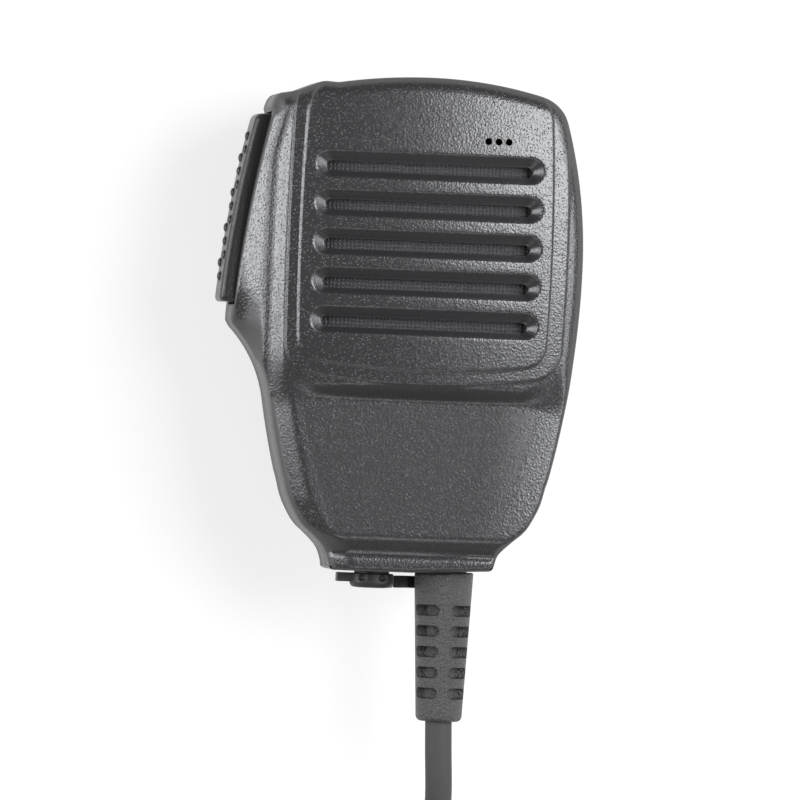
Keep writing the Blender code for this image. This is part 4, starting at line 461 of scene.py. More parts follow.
def front_height(x, y):
    """Height of the front above the flat back, without the raised band, panel and louvres."""
    edge = distance_to_edge(x, y)
    aside = smooth_step(np.abs(x), 0.016, 0.024)
    high = STEP_TOP_Y + 0.0045 * aside
    low = STEP_TOP_Y - STEP_LENGTH - 0.0020 * aside
    share = smooth_step(y, low, high)
    lower = lower_front(x, y, edge)
    return lower + (upper_front(x, y, edge) - lower) * share


def half_width(y, at_waist):
    """Half width of the panel or the band: nearly straight sides that draw in over the top."""
    over_top = np.clip((np.asarray(y) - 0.0200) / 0.0060, 0, 2)
    return at_waist - np.asarray(y) ** 2 / (2 * PANEL_SIDE_RADIUS) - 0.0022 * over_top**2


def raised_outline(at_waist, bottom_y, corner):
    """The panel's or the band's outline, from above its left side round its bottom to its right side."""

    def bottom(x):
        return bottom_y + x**2 / (2 * PANEL_SAG_RADIUS)

    start = float(half_width(bottom_y + corner, at_waist)) - corner
    lean = math.atan(start / PANEL_SAG_RADIUS)
    start += corner * math.sin(lean)
    centre = (start - corner * math.sin(lean), bottom(start) + corner * math.cos(lean))
    up = np.linspace(centre[1], 0.030, 60)
    right = [(x, bottom(x)) for x in np.linspace(0, start, 20)[:-1]]
    right += arc(centre, corner, lean - math.pi / 2, 0, 16)
    widths = half_width(up, at_waist)
    right += [(float(width - widths[0]) + right[-1][0], y) for width, y in zip(widths[1:], up[1:])]
    left = [(-x, y) for x, y in right[:0:-1]]
    return np.array(left + right)


def depth_inside(x, y, outline):
    """How far inside a raised outline each point lies; less than zero is outside."""
    half = len(outline) // 2
    right = outline[half:]
    turn = int(np.argmax(right[:, 0]))
    low = np.interp(np.abs(x), right[: turn + 1, 0], right[: turn + 1, 1], right=1.0)
    reach = np.interp(y, right[:, 1], right[:, 0])
    inside = (y > low) & (np.abs(x) < reach)
    return np.where(inside, 1, -1) * distance_to_line(x, y, outline)


# The left side's band is narrower than the right side's: its distances from the middle, and the right's
LEFT_WARP = (
    (0, 0.015, PANEL_LEFT_WIDTH, BAND_LEFT_WIDTH, 0.040),
    (0, 0.015, PANEL_HALF_WIDTH, PANEL_HALF_WIDTH + BAND_WIDTH, 0.0405),
)


def raised(x, y):
    """The raised band and, on it, the raised panel."""
    x = np.where(x < 0, -np.interp(-x, *LEFT_WARP), x)
    height = 0.0
    for step, outline in (
        (BAND_STEP, (PANEL_HALF_WIDTH + BAND_WIDTH, BAND_BOTTOM_Y, BAND_CORNER_RADIUS)),
        (PANEL_STEP, (PANEL_HALF_WIDTH, PANEL_BOTTOM_Y, PANEL_CORNER_RADIUS)),
    ):
        inside = depth_inside(x, y, raised_outline(*outline))
        height = height + step * smooth_step(inside, -OUTLINE_SOFTNESS, OUTLINE_SOFTNESS)
    return height


def spine_distance(x, y, length, height):
    """Distance to the middle line of a pill shape, less half its height."""
    beyond = np.clip(np.abs(x) - (length - height) / 2, 0, None)
    return np.hypot(beyond, y) - height / 2


def louvre_drop(x, y):
    """Depth of the dished mouths of the louvres."""
    drop = np.zeros_like(x)
    for middle in SLOT_MIDDLES:
        up = y - middle
        mouth = -spine_distance(x, up, SLOT_LENGTH, SLOT_HEIGHT)
        slit = spine_distance(x, up - SLIT_OFFSET, SLIT_LENGTH, SLIT_HEIGHT)
        share = mouth / np.maximum(mouth + np.clip(slit, 0, None), 1e-6)
        drop = np.maximum(drop, SLOT_DEPTH * 0.5 * (share + np.sqrt(share**2 + 0.004)))
    return drop


# Making and finishing pieces


def grid_sheet(x, y, z):
    """A sheet of faces through rows of points."""
    rows, columns = np.shape(z)
    bm = bmesh.new()
    bmesh.ops.create_grid(bm, x_segments=columns - 1, y_segments=rows - 1, size=0.5)
    for vertex in bm.verts:
        i = round((vertex.co.x + 0.5) * (columns - 1))
        j = round((vertex.co.y + 0.5) * (rows - 1))
        vertex.co = (x[j][i], y[j][i], z[j][i])
    return bm


def fill_open_ends(bm):
    open_edges = [edge for edge in bm.edges if edge.is_boundary]
    if open_edges:
        bmesh.ops.holes_fill(bm, edges=open_edges, sides=0)


def stand_on(bm, level):
    """Runs the sheet's border straight up or down to a level and closes the base."""
    rim = [edge for edge in bm.edges if edge.is_boundary]
    made = bmesh.ops.extrude_edge_only(bm, edges=rim)["geom"]
    for item in made:
        if isinstance(item, bmesh.types.BMVert):
            item.co.z = level
    fill_open_ends(bm)
    bmesh.ops.recalc_face_normals(bm, faces=bm.faces)
    return bm


def wrapped(x, y, z):
    """A closed tube-like body from rows of points that each run once round it."""
    bm = grid_sheet(x, y, z)
    bmesh.ops.remove_doubles(bm, verts=bm.verts, dist=1e-7)
    fill_open_ends(bm)
    bmesh.ops.recalc_face_normals(bm, faces=bm.faces)
    return bm


TURN = {
    "Z": Matrix.Identity(4),
    "Y": Matrix.Rotation(-math.pi / 2, 4, "X"),
    "X": Matrix.Rotation(math.pi / 2, 4, "Y"),
}


def turned(profile, axis="Z", at=(0, 0, 0), steps=48, closed=False):
    """A body spun from a profile of (radius, height) pairs; closed joins the profile's ends."""
    bm = bmesh.new()
    line = [bm.verts.new((radius, 0, height)) for radius, height in profile]
    pairs = list(zip(line, line[1:])) + ([(line[-1], line[0])] if closed else [])
    edges = [bm.edges.new(pair) for pair in pairs]
    bmesh.ops.spin(
        bm, geom=line + edges, cent=(0, 0, 0), axis=(0, 0, 1), angle=2 * math.pi, steps=steps, use_merge=True
    )
    bmesh.ops.remove_doubles(bm, verts=bm.verts, dist=1e-7)
    bmesh.ops.transform(bm, matrix=Matrix.Translation(at) @ TURN[axis], verts=bm.verts)
    fill_open_ends(bm)
    bmesh.ops.recalc_face_normals(bm, faces=bm.faces)
    return bm


def softened(points, radius, segments=4):
    """A profile whose inner corners are rounded off."""
    found = [points[0]]
    for before, corner, after in zip(points, points[1:], points[2:]):
        a, b, c = (np.array(p, float) for p in (before, corner, after))
        reach = min(radius, 0.45 * np.linalg.norm(a - b), 0.45 * np.linalg.norm(c - b))
        start = b + (a - b) / np.linalg.norm(a - b) * reach
        end = b + (c - b) / np.linalg.norm(c - b) * reach
        for t in np.linspace(0, 1, segments + 1):
            found.append(tuple((1 - t) ** 2 * start + 2 * t * (1 - t) * b + t**2 * end))
    return found + [points[-1]]


def prism(outline, low, high, axis="Z"):
    """A flat outline run out between two levels; its two coordinates are the other two axes in order."""
    at = "XYZ".index(axis)
    bm = bmesh.new()
    corners = [bm.verts.new((*point[:at], low, *point[at:])) for point in outline]
    made = bmesh.ops.extrude_face_region(bm, geom=[bm.faces.new(corners)])["geom"]
    run = [0, 0, 0]
    run[at] = high - low
    bmesh.ops.translate(bm, vec=run, verts=[v for v in made if isinstance(v, bmesh.types.BMVert)])
    bmesh.ops.recalc_face_normals(bm, faces=bm.faces)
    return bm


def round_bar(radius, low, high, at, axis="Z", steps=32):
    """A plain round bar along an axis through a place, between two levels from it."""
    return turned([(0, low), (radius, low), (radius, high), (0, high)], axis, at, steps)


def block(low, high):
    """A plain box between two corners, for cutting with."""
    bm = bmesh.new()
    bmesh.ops.create_cube(bm, size=1)
    size = Vector(high) - Vector(low)
    middle = (Vector(high) + Vector(low)) / 2
    bmesh.ops.transform(bm, matrix=Matrix.Translation(middle) @ Matrix.Diagonal((*size, 1)), verts=bm.verts)
    return bm


def rounded(width, height, radius, corners=6, centre=(0, 0)):
    """An outline of a rectangle with rounded corners."""
    points = []
    for k, (sx, sy) in enumerate(((1, 1), (-1, 1), (-1, -1), (1, -1))):
        middle = (centre[0] + sx * (width / 2 - radius), centre[1] + sy * (height / 2 - radius))
        points += arc(middle, radius, k * math.pi / 2, (k + 1) * math.pi / 2, corners + 1)
    return points


def joined(*bodies):
    """One mesh holding several bodies."""
    whole = bmesh.new()
    for body in bodies:
        mesh = bpy.data.meshes.new("body")
        body.to_mesh(mesh)
        body.free()
        whole.from_mesh(mesh)
        bpy.data.meshes.remove(mesh)
    return whole


def made_object(name, bm):
    mesh = bpy.data.meshes.new(name)
    bm.to_mesh(mesh)
    bm.free()
    obj = bpy.data.objects.new(name, mesh)
    bpy.context.scene.collection.objects.link(obj)
    return obj


def bake_modifiers(obj):
    """Keeps the shape that the object's modifiers give it, as its own mesh."""
    graph = bpy.context.evaluated_depsgraph_get()
    finished = bpy.data.meshes.new_from_object(obj.evaluated_get(graph))
    old = obj.data
    obj.modifiers.clear()
    obj.data = finished
    bpy.data.meshes.remove(old)


def shaped(bm, *steps):
    """The body after each step, an operation and the body that it is done with, as a new bmesh."""
    obj = made_object("blank", bm)
    tools = []
    for operation, tool in steps:
        tools.append(made_object("tool", tool))
        modifier = obj.modifiers.new("shape", "BOOLEAN")
        modifier.operation = operation
        modifier.solver = "EXACT"
        modifier.object = tools[-1]
    bake_modifiers(obj)
    result = bmesh.new()
    result.from_mesh(obj.data)
    for item in [obj, *tools]:
        mesh = item.data
        bpy.data.objects.remove(item)
        bpy.data.meshes.remove(mesh)
    return result


def cut(bm, *tools):
    return shaped(bm, *[("DIFFERENCE", tool) for tool in tools])


def finish_piece(name, bm, body, look, replaces=(), sharp_deg=40, bevel=0.0):
    """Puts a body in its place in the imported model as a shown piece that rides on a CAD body."""
    bmesh.ops.translate(bm, vec=ORIGIN, verts=bm.verts)
    obj = made_object(name, bm)
    if bevel:
        edge = obj.modifiers.new("edges", "BEVEL")
        edge.width = bevel
        edge.segments = 3
        edge.limit_method = "ANGLE"
        edge.angle_limit = math.radians(30)
        bake_modifiers(obj)
    obj.data.shade_smooth()
    obj.data.set_sharp_from_angle(angle=math.radians(sharp_deg))
    obj.data.materials.clear()
    obj.data.materials.append(look)
    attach(obj, body)
    if replaces:
        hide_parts(*replaces)
    return obj


# Case shells

# The label's place on the lower half: where it starts and ends, then heights and its half width at each
LABEL_FROM = (0.0250, 0.0262)
LABEL_TO = (-0.0500, -0.0488)
LABEL_EDGE = ((-0.045, -0.040, -0.035, -0.030, -0.025), (0.0130, 0.0151, 0.0165, 0.0183, 0.0190))
# A wall's sideways lean at which it starts to count as steep, and at which it fully does
STEEP = (0.62, 0.92)


def bent_rows(rows, x, bend_from, inset=0.0):
    """Heights along y of rows that bend to follow the top and bottom edges; inset is the end rows' own."""
    low, high = LOW_ROW_Y + inset, HIGH_ROW_Y - inset
    rise = top_edge(np.clip(x, left_side(HIGH_ROW_Y), right_side(HIGH_ROW_Y))) - HIGH_ROW_Y
    fall = bottom_edge(np.clip(x, -NECK_HALF_WIDTH, NECK_HALF_WIDTH)) - LOW_ROW_Y
    return rows + rise * smooth_step(rows, bend_from, high) + fall * smooth_step(-rows, -low - 0.004, -low)


def front_rows():
    """Heights of the front's rows before they bend: close where the front turns, wide where it is flat."""
    low = LOW_ROW_Y + edge_offsets(NECK_EDGE_RADIUS, 8)
    slots = []
    for middle in SLOT_MIDDLES[::-1]:
        slots += list(middle + np.linspace(-2.35, 2.35, 27) * MM)
        slots += [middle + 2.85 * MM, middle + 3.33 * MM]
    high = HIGH_ROW_Y - edge_offsets(TOP_EDGE_RADIUS * 0.8, 12)[::-1]
    over_scoop = np.arange(low[-1] + 0.3 * MM, -0.0440, 0.3 * MM)
    over_label = np.arange(-0.0438, -0.0280, 0.9 * MM)
    over_step = np.arange(-0.0278, -0.0146, 0.22 * MM)
    over_top = np.arange(slots[-3] + 0.3 * MM, high[0] - 0.1 * MM, 0.24 * MM)
    return np.concatenate([low, over_scoop, over_label, over_step, slots[:-2], over_top, high])


def front_columns():
    """The front's columns from the left edge to the right: each one's zone, and its share across it."""
    over_flange = (0, 0.01, 0.03, 0.06, 0.10, 0.16, 0.24, 0.34, 0.45, 0.56, 0.68, 0.79, 0.88, 0.95)
    over_strip = (0, 0.06, 0.12, 0.18, 0.25, 0.33, 0.42, 0.51, 0.60, 0.69, 0.77, 0.83, 0.88, 0.92, 0.96)
    over_band = np.array((0, 0.05, 0.10, 0.16, 0.24, 0.34, 0.45, 0.56, 0.67, 0.78, 0.86, 0.92, 0.96))
    last = (18.8, 19.05, 19.3, 19.5, 19.65, 19.77, 19.87)
    from_middle = np.concatenate([np.arange(0, 15.2, 1.0), np.arange(15.3, 18.6, 0.2), last])
    both_ways = np.concatenate([-from_middle[:0:-1], from_middle])
    over_panel = 0.5 + 0.5 * both_ways * MM / PANEL_HALF_WIDTH
    to_edge = 1 - edge_offsets(1.0, 14)[::-1]
    shares = (over_flange, over_strip, over_band, over_panel, 1 - over_band[::-1], to_edge[1:])
    zones = [np.full(len(share), i) for i, share in enumerate(shares)]
    return np.concatenate(zones), np.concatenate(shares)


def column_places(y):
    """Where the columns lie across the front at the heights y."""
    zone, share = front_columns()
    reach = right_side(y)
    below = BAND_LOWER_SHARE * reach
    band = half_width(y, PANEL_HALF_WIDTH + BAND_WIDTH)
    band = below + (band - below) * smooth_step(y, -0.0300, -0.0200)
    band = np.minimum(band, reach - 0.0001)
    panel = band - BAND_WIDTH * reach / CASE_HALF_WIDTH
    left = left_side(y)
    valley = np.maximum(valley_x(y), left + 0.0004)
    band_left, panel_left = (np.interp(place, *LEFT_WARP[::-1]) for place in (band, panel))
    lines = (left, valley, -band_left, -panel_left, panel, band, reach)
    x = np.zeros((len(y), len(zone)))
    for i, (start, end) in enumerate(zip(lines, lines[1:])):
        x = np.where(zone == i, start + (end - start) * share, x)
    return x


def front_sheet():
    """The front's rows and columns, settled so that the columns suit the heights that the rows bend to."""
    rows = front_rows()[:, None]
    x = column_places(rows)
    for _ in range(6):
        y = bent_rows(rows, x, FRONT_BEND_Y)
        x = column_places(np.clip(y, LOW_ROW_Y - 0.0002, HIGH_ROW_Y))
    y = bent_rows(rows, x, FRONT_BEND_Y)
    return x, y, front_height(x, y) + raised(x, y) - louvre_drop(x, y)


def cavity(height, floor_z):
    """The space inside a shell, one wall inside its outer faces."""
    rows = np.linspace(LOW_ROW_Y + WALL, HIGH_ROW_Y - WALL, 40)[:, None]
    left, right = left_side(rows) + WALL, right_side(rows) - WALL
    x = left + (right - left) * np.linspace(0, 1, 28)
    y = bent_rows(rows, x, CAVITY_BEND_Y, WALL)
    return stand_on(grid_sheet(x, y, height(x, y)), floor_z)


def neck_openings():
    """The openings through the neck's wall, shared by both shells: boot, jack and the cap's anchor."""
    before, past = 0.0030, 0.0015
    openings = (
        (BOOT_NECK_RADIUS + SEAT, BOOT_X, AXIS_Z),
        (CAP_RADIUS, JACK_X, AXIS_Z),
        (STRAP_STEM_RADIUS + SEAT, STRAP_ANCHOR_X, STRAP_ANCHOR_Z),
    )
    depth = before + WALL + past
    return joined(*[round_bar(r, 0, depth, (x, BOTTOM_Y - before, z), "Y", 48) for r, x, z in openings])


def key_window():
    """The space for the key, through the flange of both shells."""
    low = (TIP_X - 0.0040, KEY_BOTTOM_Y - 0.0004, KEY_LOW_Z - SEAT)
    high = (FLANGE_TOP_X + WALL, KEY_TOP_Y + 0.0004, KEY_HIGH_Z + SEAT)
    return block(low, high)


def slit_cutters():
    """The slits in the louvres and the sound holes over the microphone."""
    cutters = []
    for middle in SLOT_MIDDLES:
        outline = rounded(SLIT_LENGTH, SLIT_HEIGHT, SLIT_HEIGHT / 2 - 1e-6, 8, (0, middle + SLIT_OFFSET))
        cutters.append(prism(outline, CROWN_Z - 0.0090, CROWN_Z + 0.0007))
    for i in (-1, 0, 1):
        at = (MIC_HOLE_X + i * MIC_HOLE_PITCH, MIC_HOLE_Y, 0)
        cutters.append(round_bar(MIC_HOLE_RADIUS, CROWN_Z - 0.0060, CROWN_Z + 0.0010, at))
    return joined(*cutters)


def grain_strength(x, y):
    """Where the moulded grain is: full on the face, fainter on the label's place and in the louvres."""
    label = smooth_step(-y, *LABEL_FROM) * smooth_step(y, *LABEL_TO)
    label = label * smooth_step(np.interp(y, *LABEL_EDGE) - np.abs(x), -0.0006, 0.0006)
    dish = np.zeros_like(x)
    for middle in SLOT_MIDDLES:
        inside = -spine_distance(x, y - middle, SLOT_LENGTH, SLOT_HEIGHT)
        dish = np.maximum(dish, smooth_step(inside, 0.0001, 0.0006))
    return 1 - np.maximum(0.45 * label, 0.8 * dish)


def write_on(obj, name, values):
    layer = obj.data.attributes.new(name, "FLOAT", "POINT")
    layer.data.foreach_set("value", values.astype(np.float32))


def paint_grain(obj):
    """Writes the grain's strength and the walls' steepness on a shell's vertices, for its material."""
    places, normals = np.zeros((2, len(obj.data.vertices) * 3), np.float32)
    obj.data.vertices.foreach_get("co", places)
    obj.data.vertex_normals.foreach_get("vector", normals)
    x, y, z = (places.reshape(-1, 3) - np.array(ORIGIN)).T
    write_on(obj, "grain", np.where(z > PARTING_Z - 0.0001, grain_strength(x, y), 1.0))
    write_on(obj, "steep", smooth_step(np.hypot(normals[0::3], normals[1::3]), *STEEP))


def build_front_shell():
    body = stand_on(grid_sheet(*front_sheet()), PARTING_Z)
    inside = cavity(lambda x, y: front_height(x, y) - WALL, PARTING_Z - 0.0010)
    body = cut(body, inside, slit_cutters(), key_window(), neck_openings())
    paint_grain(finish_piece("front_shell", body, "case", CASE_LOOK, ["front_case"], 42))


def rear_height(x, y):
    """The flat back with its rounded edge."""
    lines = (LEFT_EDGE, RIGHT_EDGE, neck_line())
    return rounding(np.min([distance_to_line(x, y, line) for line in lines], axis=0), BACK_EDGE_RADIUS)


def rear_sheet():
    fine = edge_offsets(BACK_EDGE_RADIUS, 9)
    low, high = LOW_ROW_Y + fine, HIGH_ROW_Y - fine[::-1]
    rows = np.concatenate([low, np.linspace(low[-1], high[0], 70)[1:-1], high])[:, None]
    left, right = left_side(rows), right_side(rows)
    inner_left, inner_right = left + fine[-1], right - fine[-1]
    middle = inner_left + (inner_right - inner_left) * np.linspace(0, 1, 30)[1:-1]
    x = np.concatenate([left + fine, middle, right - fine[::-1]], axis=1)
    y = bent_rows(rows, x, BACK_BEND_Y)
    return x, y, rear_height(x, y)


def screw_recess(x, y):
    """The hole for a case screw: its head's counterbore and its shank's way up to the front shell."""
    head, shank = SCREW_HEAD_RADIUS + SEAT, SCREW_SHANK_RADIUS + SEAT
    seat = SCREW_HEAD_HEIGHT + SCREW_SUNK + SEAT
    profile = [(0, -0.001), (head, -0.001), (head, seat), (shank, seat), (shank, PARTING_Z), (0, PARTING_Z)]
    return turned(profile, at=(x, y, 0), steps=44)


def build_rear_shell():
    top = PARTING_Z - SEAT
    body = stand_on(grid_sheet(*rear_sheet()), top)
    inside = cavity(lambda x, y: np.full_like(x, WALL), top + 0.001)
    bosses = [round_bar(SCREW_BOSS_RADIUS, WALL / 2, top, (x, y, 0), steps=40) for x, y in SCREW_PLACES]
    bosses.append(round_bar(SWIVEL_BOSS_RADIUS, WALL / 2, SWIVEL_BOSS_TOP, (0, CLIP_Y, 0)))
    holes = [screw_recess(x, y) for x, y in SCREW_PLACES]
    holes.append(round_bar(SWIVEL_RADIUS + SEAT, -0.001, SWIVEL_TOP + SEAT, (0, CLIP_Y, 0)))
    cuts = [("DIFFERENCE", tool) for tool in (joined(*holes), key_window(), neck_openings())]
    body = shaped(body, ("DIFFERENCE", inside), ("UNION", joined(*bosses)), *cuts)
    paint_grain(finish_piece("rear_shell", body, "case", CASE_LOOK, ["rear_case"], 42))


# Push-to-talk key


def flange_x(y):
    """The outer edge of the key housing's flange."""
    middle = flange_centre()
    return middle.x - np.sqrt(FLANGE_ARC_RADIUS**2 - (np.asarray(y) - middle.y) ** 2)


def key_skin():
    """The key's skin as rows of points that each run once round it, drawn in at both ends."""
    ends = edge_offsets(KEY_EDGE_RADIUS, 8)
    along = np.linspace(KEY_BOTTOM_Y, KEY_TOP_Y, 60)[3:-3]
    rows = []
    for y in np.concatenate([KEY_BOTTOM_Y + ends, along, KEY_TOP_Y - ends[::-1]]):
        drawn_in = float(rounding(np.array(min(y - KEY_BOTTOM_Y, KEY_TOP_Y - y)), KEY_EDGE_RADIUS))
        outer = float(flange_x(y)) - KEY_PROUD + 0.6 * drawn_in
        inner = float(flange_x(y)) + KEY_DEPTH - KEY_PROUD
        low, high, r = KEY_LOW_Z + 0.5 * drawn_in, KEY_HIGH_Z - 0.5 * drawn_in, KEY_EDGE_RADIUS
        ring = [(inner, low), (outer + 2 * r, low)]
        ring += arc((outer + r, low + r), r, 1.5 * math.pi, math.pi, 8)
        ring += [(outer, z) for z in np.linspace(low + r, high - r, 8)[1:-1]]
        ring += arc((outer + r, high - r), r, math.pi, math.pi / 2, 8)
        ring += [(outer + 2 * r, high), (inner, high), (inner, low)]
        rows.append([(x, y, z) for x, z in ring])
    return np.moveaxis(np.array(rows), 2, 0)


def grip_dot(y, z):
    """One domed grip dot, half sunk in the key's face."""
    bm = bmesh.new()
    bmesh.ops.create_uvsphere(bm, u_segments=20, v_segments=12, radius=1.0)
    place = Matrix.Translation((float(flange_x(y)) - KEY_PROUD, y, z))
    size = Matrix.Diagonal((DOT_HEIGHT, DOT_RADIUS, DOT_RADIUS, 1))
    bmesh.ops.transform(bm, matrix=place @ size, verts=bm.verts)
    return bm


def build_key():
    """The key with its dots: one line of them along its middle, and one to each side between them."""
    bodies = [wrapped(*key_skin())]
    mid_z = (KEY_LOW_Z + KEY_HIGH_Z) / 2
    for i in range(DOT_COUNT):
        bodies.append(grip_dot(DOT_TOP_Y - i * DOT_PITCH, mid_z))
    for i in range(DOT_COUNT - 1):
        y = DOT_TOP_Y - (i + 0.5) * DOT_PITCH
        for side in (1, -1):
            bodies.append(grip_dot(y + side * DOT_STAGGER, mid_z + side * DOT_LINE_GAP))
    finish_piece("talk_key", joined(*bodies), "key", KEY_LOOK, ["ptt_key"])


# Strain relief


def boot_radius(y):
    return BOOT_TOP_RADIUS + (BOOT_END_RADIUS - BOOT_TOP_RADIUS) * (BOOT_TOP_Y - y) / BOOT_LENGTH


def pocket_share(angle, y):
    """How far each point of the sleeve is sunk into a pocket, from 0 to 1."""
    half_span = math.radians(90 - BOOT_RIB_DEG) / 2
    from_middle = (angle % (math.pi / 2)) - math.pi / 4
    share = np.zeros(np.broadcast(angle, y).shape)
    for row in range(BOOT_ROWS):
        up = y - (BOOT_TOP_Y - BOOT_ROW_TOP - row * BOOT_ROW_PITCH)
        radius = boot_radius(y)
        depth = -spine_distance(from_middle * radius, up, 2 * half_span * radius, BOOT_POCKET_HEIGHT)
        share = np.maximum(share, smooth_step(depth, -0.4 * BOOT_LIP, 0.6 * BOOT_LIP))
    return share


def build_boot():
    """The strain relief: a cone with rows of pockets, and inside the case its neck and collar."""
    across = np.array([0.10, 0.22, 0.36, 0.50, 0.60, 0.68, 0.74, 0.79, 0.84, 0.90, 0.98, 1.10])
    across = np.concatenate([-across[::-1], [0], across]) * MM
    rows = [BOOT_TOP_Y - edge_offsets(BOOT_TOP_EDGE, 5), BOOT_TOP_Y - np.linspace(0.5, 4.3, 10) * MM]
    rows += [BOOT_TOP_Y - BOOT_ROW_TOP - row * BOOT_ROW_PITCH - across for row in range(BOOT_ROWS)]
    rows.append(np.linspace(rows[-1][-1] - 0.3 * MM, BOOT_END_Y + 1.0 * MM, 9))
    rows.append(BOOT_END_Y + edge_offsets(BOOT_END_EDGE, 9)[::-1])
    y = np.concatenate(rows)[:, None]
    angle = np.linspace(0, 2 * math.pi, 241)[None, :]
    ends = rounding(y - BOOT_END_Y, BOOT_END_EDGE) + rounding(BOOT_TOP_Y - y, BOOT_TOP_EDGE)
    radius = boot_radius(y) - ends + 0 * angle
    radius = radius - (radius - BOOT_CORE_RADIUS) * pocket_share(angle, y)
    collar = float(bottom_edge(BOOT_X + BOOT_TOP_RADIUS)) + WALL + SEAT
    rim = BOOT_TOP_RADIUS - 0.1 * MM
    outer = [(rim, collar + 1.8 * MM), (rim, collar), (BOOT_NECK_RADIUS, collar)]
    outer += [(BOOT_NECK_RADIUS, BOOT_TOP_Y)]
    inner = [(CORD_RADIUS + 0.25 * MM, BOOT_END_Y + 0.1 * MM)]
    inner += [(CORD_RADIUS + 0.1 * MM, BOOT_END_Y + 0.8 * MM)]
    (above, above_y), (below, below_y) = (np.array(line).T[:, :, None] + 0 * angle for line in (outer, inner))
    radii = np.vstack([above, radius, below])
    levels = np.vstack([above_y, y + 0 * angle, below_y])
    x = BOOT_X + radii * np.sin(angle)
    near_case = smooth_step(levels, BOOT_TOP_Y - 0.0040, BOOT_TOP_Y) * (levels < BOOT_TOP_Y + 0.0001)
    levels = levels + BOTTOM_TILT * np.clip(x, 0, None) * near_case
    z = AXIS_Z + radii * np.cos(angle)
    finish_piece("boot", wrapped(x, levels, z), "case", BOOT_LOOK, ["strain_relief"], 50)


# Earphone jack's cap and its strap

CAP_TOP_Y = BOTTOM_Y - 1.4 * SEAT
CAP_LOW_Y = CAP_TOP_Y - CAP_HEIGHT
CAP_HINGE_X = -0.0019
STRAP_WIDTH = 0.0023
STRAP_THICKNESS = 0.0019
STRAP_LOW_Y = CAP_LOW_Y + 0.0001
ARM_Z = AXIS_Z - 0.0028


def cap_disc():
    """The cap's round button with its plug and two finger dimples in its rim."""
    r, low, high = CAP_RADIUS, CAP_LOW_Y, CAP_TOP_Y
    profile = [(0, low + 0.1 * MM), (0.6 * r, low), (0.88 * r, low + 0.12 * MM), (0.97 * r, low + 0.5 * MM)]
    profile += [(r, h) for h in np.linspace(low + 0.9 * MM, high - 0.15 * MM, 9)]
    profile += [(r - 0.15 * MM, high), (r - 0.7 * MM, high), (r - 0.7 * MM, high + 0.8 * MM)]
    profile += [(0, high + 0.8 * MM)]
    bm = turned(profile, "Y", (JACK_X, 0, AXIS_Z), 120)
    for vertex in bm.verts:
        aside = vertex.co.x - JACK_X
        up = vertex.co.y - (high - 0.7 * MM)
        if vertex.co.z > AXIS_Z + 0.5 * MM and vertex.co.y < high:
            for place in (-1.75 * MM, 1.45 * MM):
                near = math.hypot((aside - place) / (0.62 * MM), up / (0.55 * MM))
                vertex.co.z -= 0.55 * MM * max(0.0, 1 - near * near)
    return bm


def rectangle(low_x, high_x, low_y, high_y):
    return [(low_x, low_y), (high_x, low_y), (high_x, high_y), (low_x, high_y)]


def build_cap():
    """The cap with its tab and its arm, up to the strap's thin root, on which it turns."""
    left = JACK_X - CAP_RADIUS
    tab = rectangle(left - 2.1 * MM, left + 1.0 * MM, AXIS_Z - 1.5 * MM, AXIS_Z + 1.5 * MM)
    half = STRAP_WIDTH / 2
    arm = rectangle(JACK_X + 0.8 * MM, CAP_HINGE_X - SEAT / 2, ARM_Z - half, ARM_Z + half)
    tab = prism(tab, CAP_TOP_Y - 1.4 * MM, CAP_TOP_Y, "Y")
    arm = prism(arm, STRAP_LOW_Y, STRAP_LOW_Y + STRAP_THICKNESS, "Y")
    body = shaped(cap_disc(), ("UNION", tab), ("UNION", arm))
    finish_piece("jack_button", body, "cap", CAP_LOOK, ["jack_cap"])


def build_strap():
    """The rest of the cap's strap, with the stem that buttons it into the case."""
    low, high = STRAP_LOW_Y, STRAP_LOW_Y + STRAP_THICKNESS
    half, root = STRAP_WIDTH / 2, CAP_HINGE_X + SEAT / 2
    strap = [(root, ARM_Z + half), (root, ARM_Z - half)]
    strap += [(CAP_HINGE_X + 1.6 * MM, STRAP_ANCHOR_Z - half + 0.6 * MM)]
    strap += [(CAP_HINGE_X + 3.4 * MM, STRAP_ANCHOR_Z - half)]
    strap += arc((STRAP_ANCHOR_X, STRAP_ANCHOR_Z), half, -math.pi / 2, math.pi / 2 - 0.5, 12)
    strap += [(CAP_HINGE_X + 2.8 * MM, STRAP_ANCHOR_Z + half)]
    r = STRAP_STEM_RADIUS
    inside = float(bottom_edge(STRAP_ANCHOR_X + 2 * r)) + WALL + SEAT
    stem = [(0, high - 0.5 * MM), (r, high - 0.5 * MM), (r, inside), (r + 0.7 * MM, inside)]
    stem += [(r, inside + 1.2 * MM), (0, inside + 1.3 * MM)]
    stem = turned(stem, "Y", (STRAP_ANCHOR_X, 0, STRAP_ANCHOR_Z), 32)
    body = shaped(prism(strap, low, high, "Y"), ("UNION", stem))
    finish_piece("jack_strap", body, "case", CAP_LOOK, ["cap_strap"], bevel=0.00022)


# Screws and belt clip

